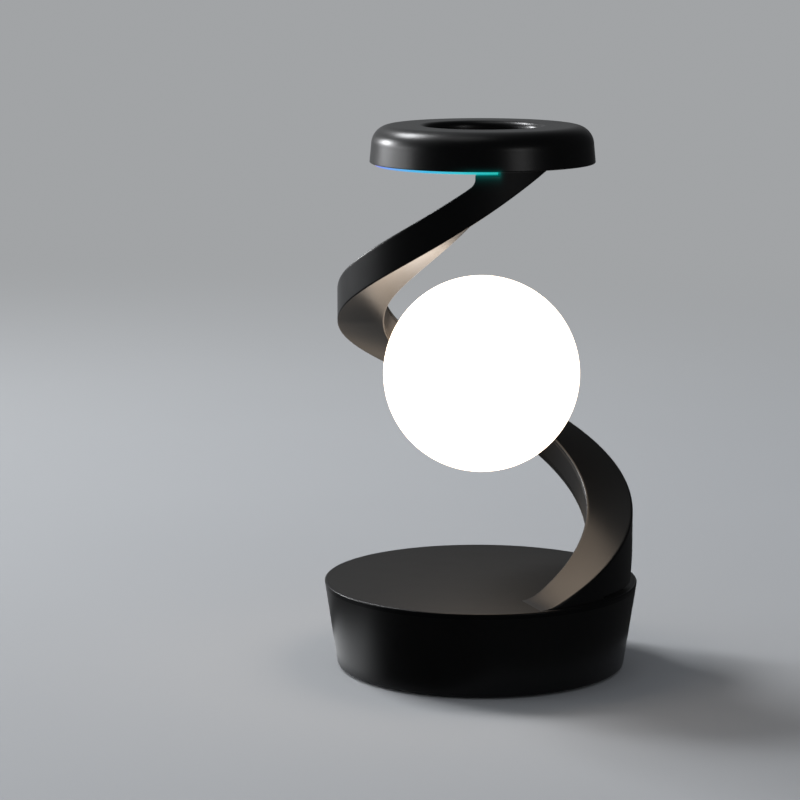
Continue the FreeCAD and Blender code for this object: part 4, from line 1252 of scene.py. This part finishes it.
def stage_floor():
    s = floor_size
    mesh = bpy.data.meshes.new("floor")
    mesh.from_pydata([(-s, -s, 0), (s, -s, 0), (s, s, 0), (-s, s, 0)], [], [[0, 1, 2, 3]])
    floor = linked("floor", mesh)
    material = new_material("pale_floor", floor_rule)
    mesh.materials.append(material)
    tree = Tree(material.node_tree)
    x, y, _ = tree.parts(tree.node("ShaderNodeTexCoord", out="Object"))
    radius, right = off_axis(x, y), x.rises(*right_side)
    gloss = rays(tree, "Is Glossy Ray")
    colour = mixed(tree, gloss, backdrop_colour(tree, x, y), floor_in_gloss(tree, x, y, right))
    plain = tree.node("ShaderNodeEmission", {"Color": colour, "Strength": 1.0})
    far = radius.rises(fade_from, fade_to - fade_from) * rays(tree, *seen_directly)
    near = gloss * radius.rises(foot_edge + wider_right * right, edge_over)
    lit = Value(tree, material.node_tree.nodes["Principled BSDF"].outputs[0])
    both = tree.node("ShaderNodeMixShader", {"Fac": far.at_least(near), 1: lit, 2: plain})
    tree.fill(material.node_tree.nodes["Material Output"], {"Surface": both})


def studio_world():
    world = bpy.data.worlds.new("studio")
    bpy.context.scene.world = world
    world.use_nodes = True
    tree = Tree(world.node_tree)
    x, y, _ = tree.parts(tree.node("ShaderNodeTexCoord", out="Generated"))
    colour = mixed(tree, rays(tree, *seen_directly), (0.26, 0.27, 0.29), backdrop_colour(tree, x, y))
    tree.fill(world.node_tree.nodes["Background"], {"Color": colour, "Strength": 1.0})


stage_floor()
studio_world()
print("floor and backdrop are ready")

# %% Lights
def soft_light(name, place, target, size, power, colour=(1, 1, 1)):
    """A rectangle of light that the camera never sees."""
    data = bpy.data.lights.new(name, "AREA")
    data.shape = "RECTANGLE"
    data.size, data.size_y = size
    data.energy = power
    data.color = colour
    lamp = linked(name, data)
    lamp.location = place
    lamp.rotation_euler = (Vector(target) - Vector(place)).to_track_quat("-Z", "Y").to_euler()
    lamp.visible_camera = False


ring_middle = (0.0, 0.0, 0.25)
daylight = (0.97, 0.98, 1.0)


def around(angle, rise, distance):
    """A place seen from the ring at an angle round Z and a rise over the horizon."""
    a, b = math.radians(angle), math.radians(rise)
    x, y, z = ring_middle
    return (x + distance * math.cos(a) * math.cos(b), y + distance * math.sin(a) * math.cos(b),
            z + distance * math.sin(b))


soft_light("window_low", around(150, 13, 2.4), ring_middle, (0.50, 0.40), 36.0, daylight)
soft_light("window_high", around(140, 46, 2.4), ring_middle, (0.80, 0.50), 44.0, daylight)
soft_light("low_panel", around(167, 5, 2.4), ring_middle, (2.2, 0.45), 21.0, daylight)
soft_light("right_fill", around(-51, 10, 1.6), ring_middle, (0.5, 0.26), 1.6)
soft_light("top_panel", (-0.25, -0.1, 1.5), (0, 0, 0.1), (0.6, 0.6), 0.8)
print("studio is lit")

# %% Camera
tilt_down, turn_left, focal_length = 9.571, 1.585, 134.24   # degrees, and mm
lens = bpy.data.cameras.new("view")
lens.sensor_width = 36.0
lens.lens = focal_length
camera = linked("view", lens)
camera.location = (0.0, -1.4006, 0.3645)
camera.rotation_euler = (math.radians(90 - tilt_down), 0.0, math.radians(turn_left))
bpy.context.scene.camera = camera
bpy.context.scene.view_settings.view_transform = "Standard"
print("camera at", tuple(round(c, 3) for c in camera.location), "metres, lens %.0f mm" % lens.lens)
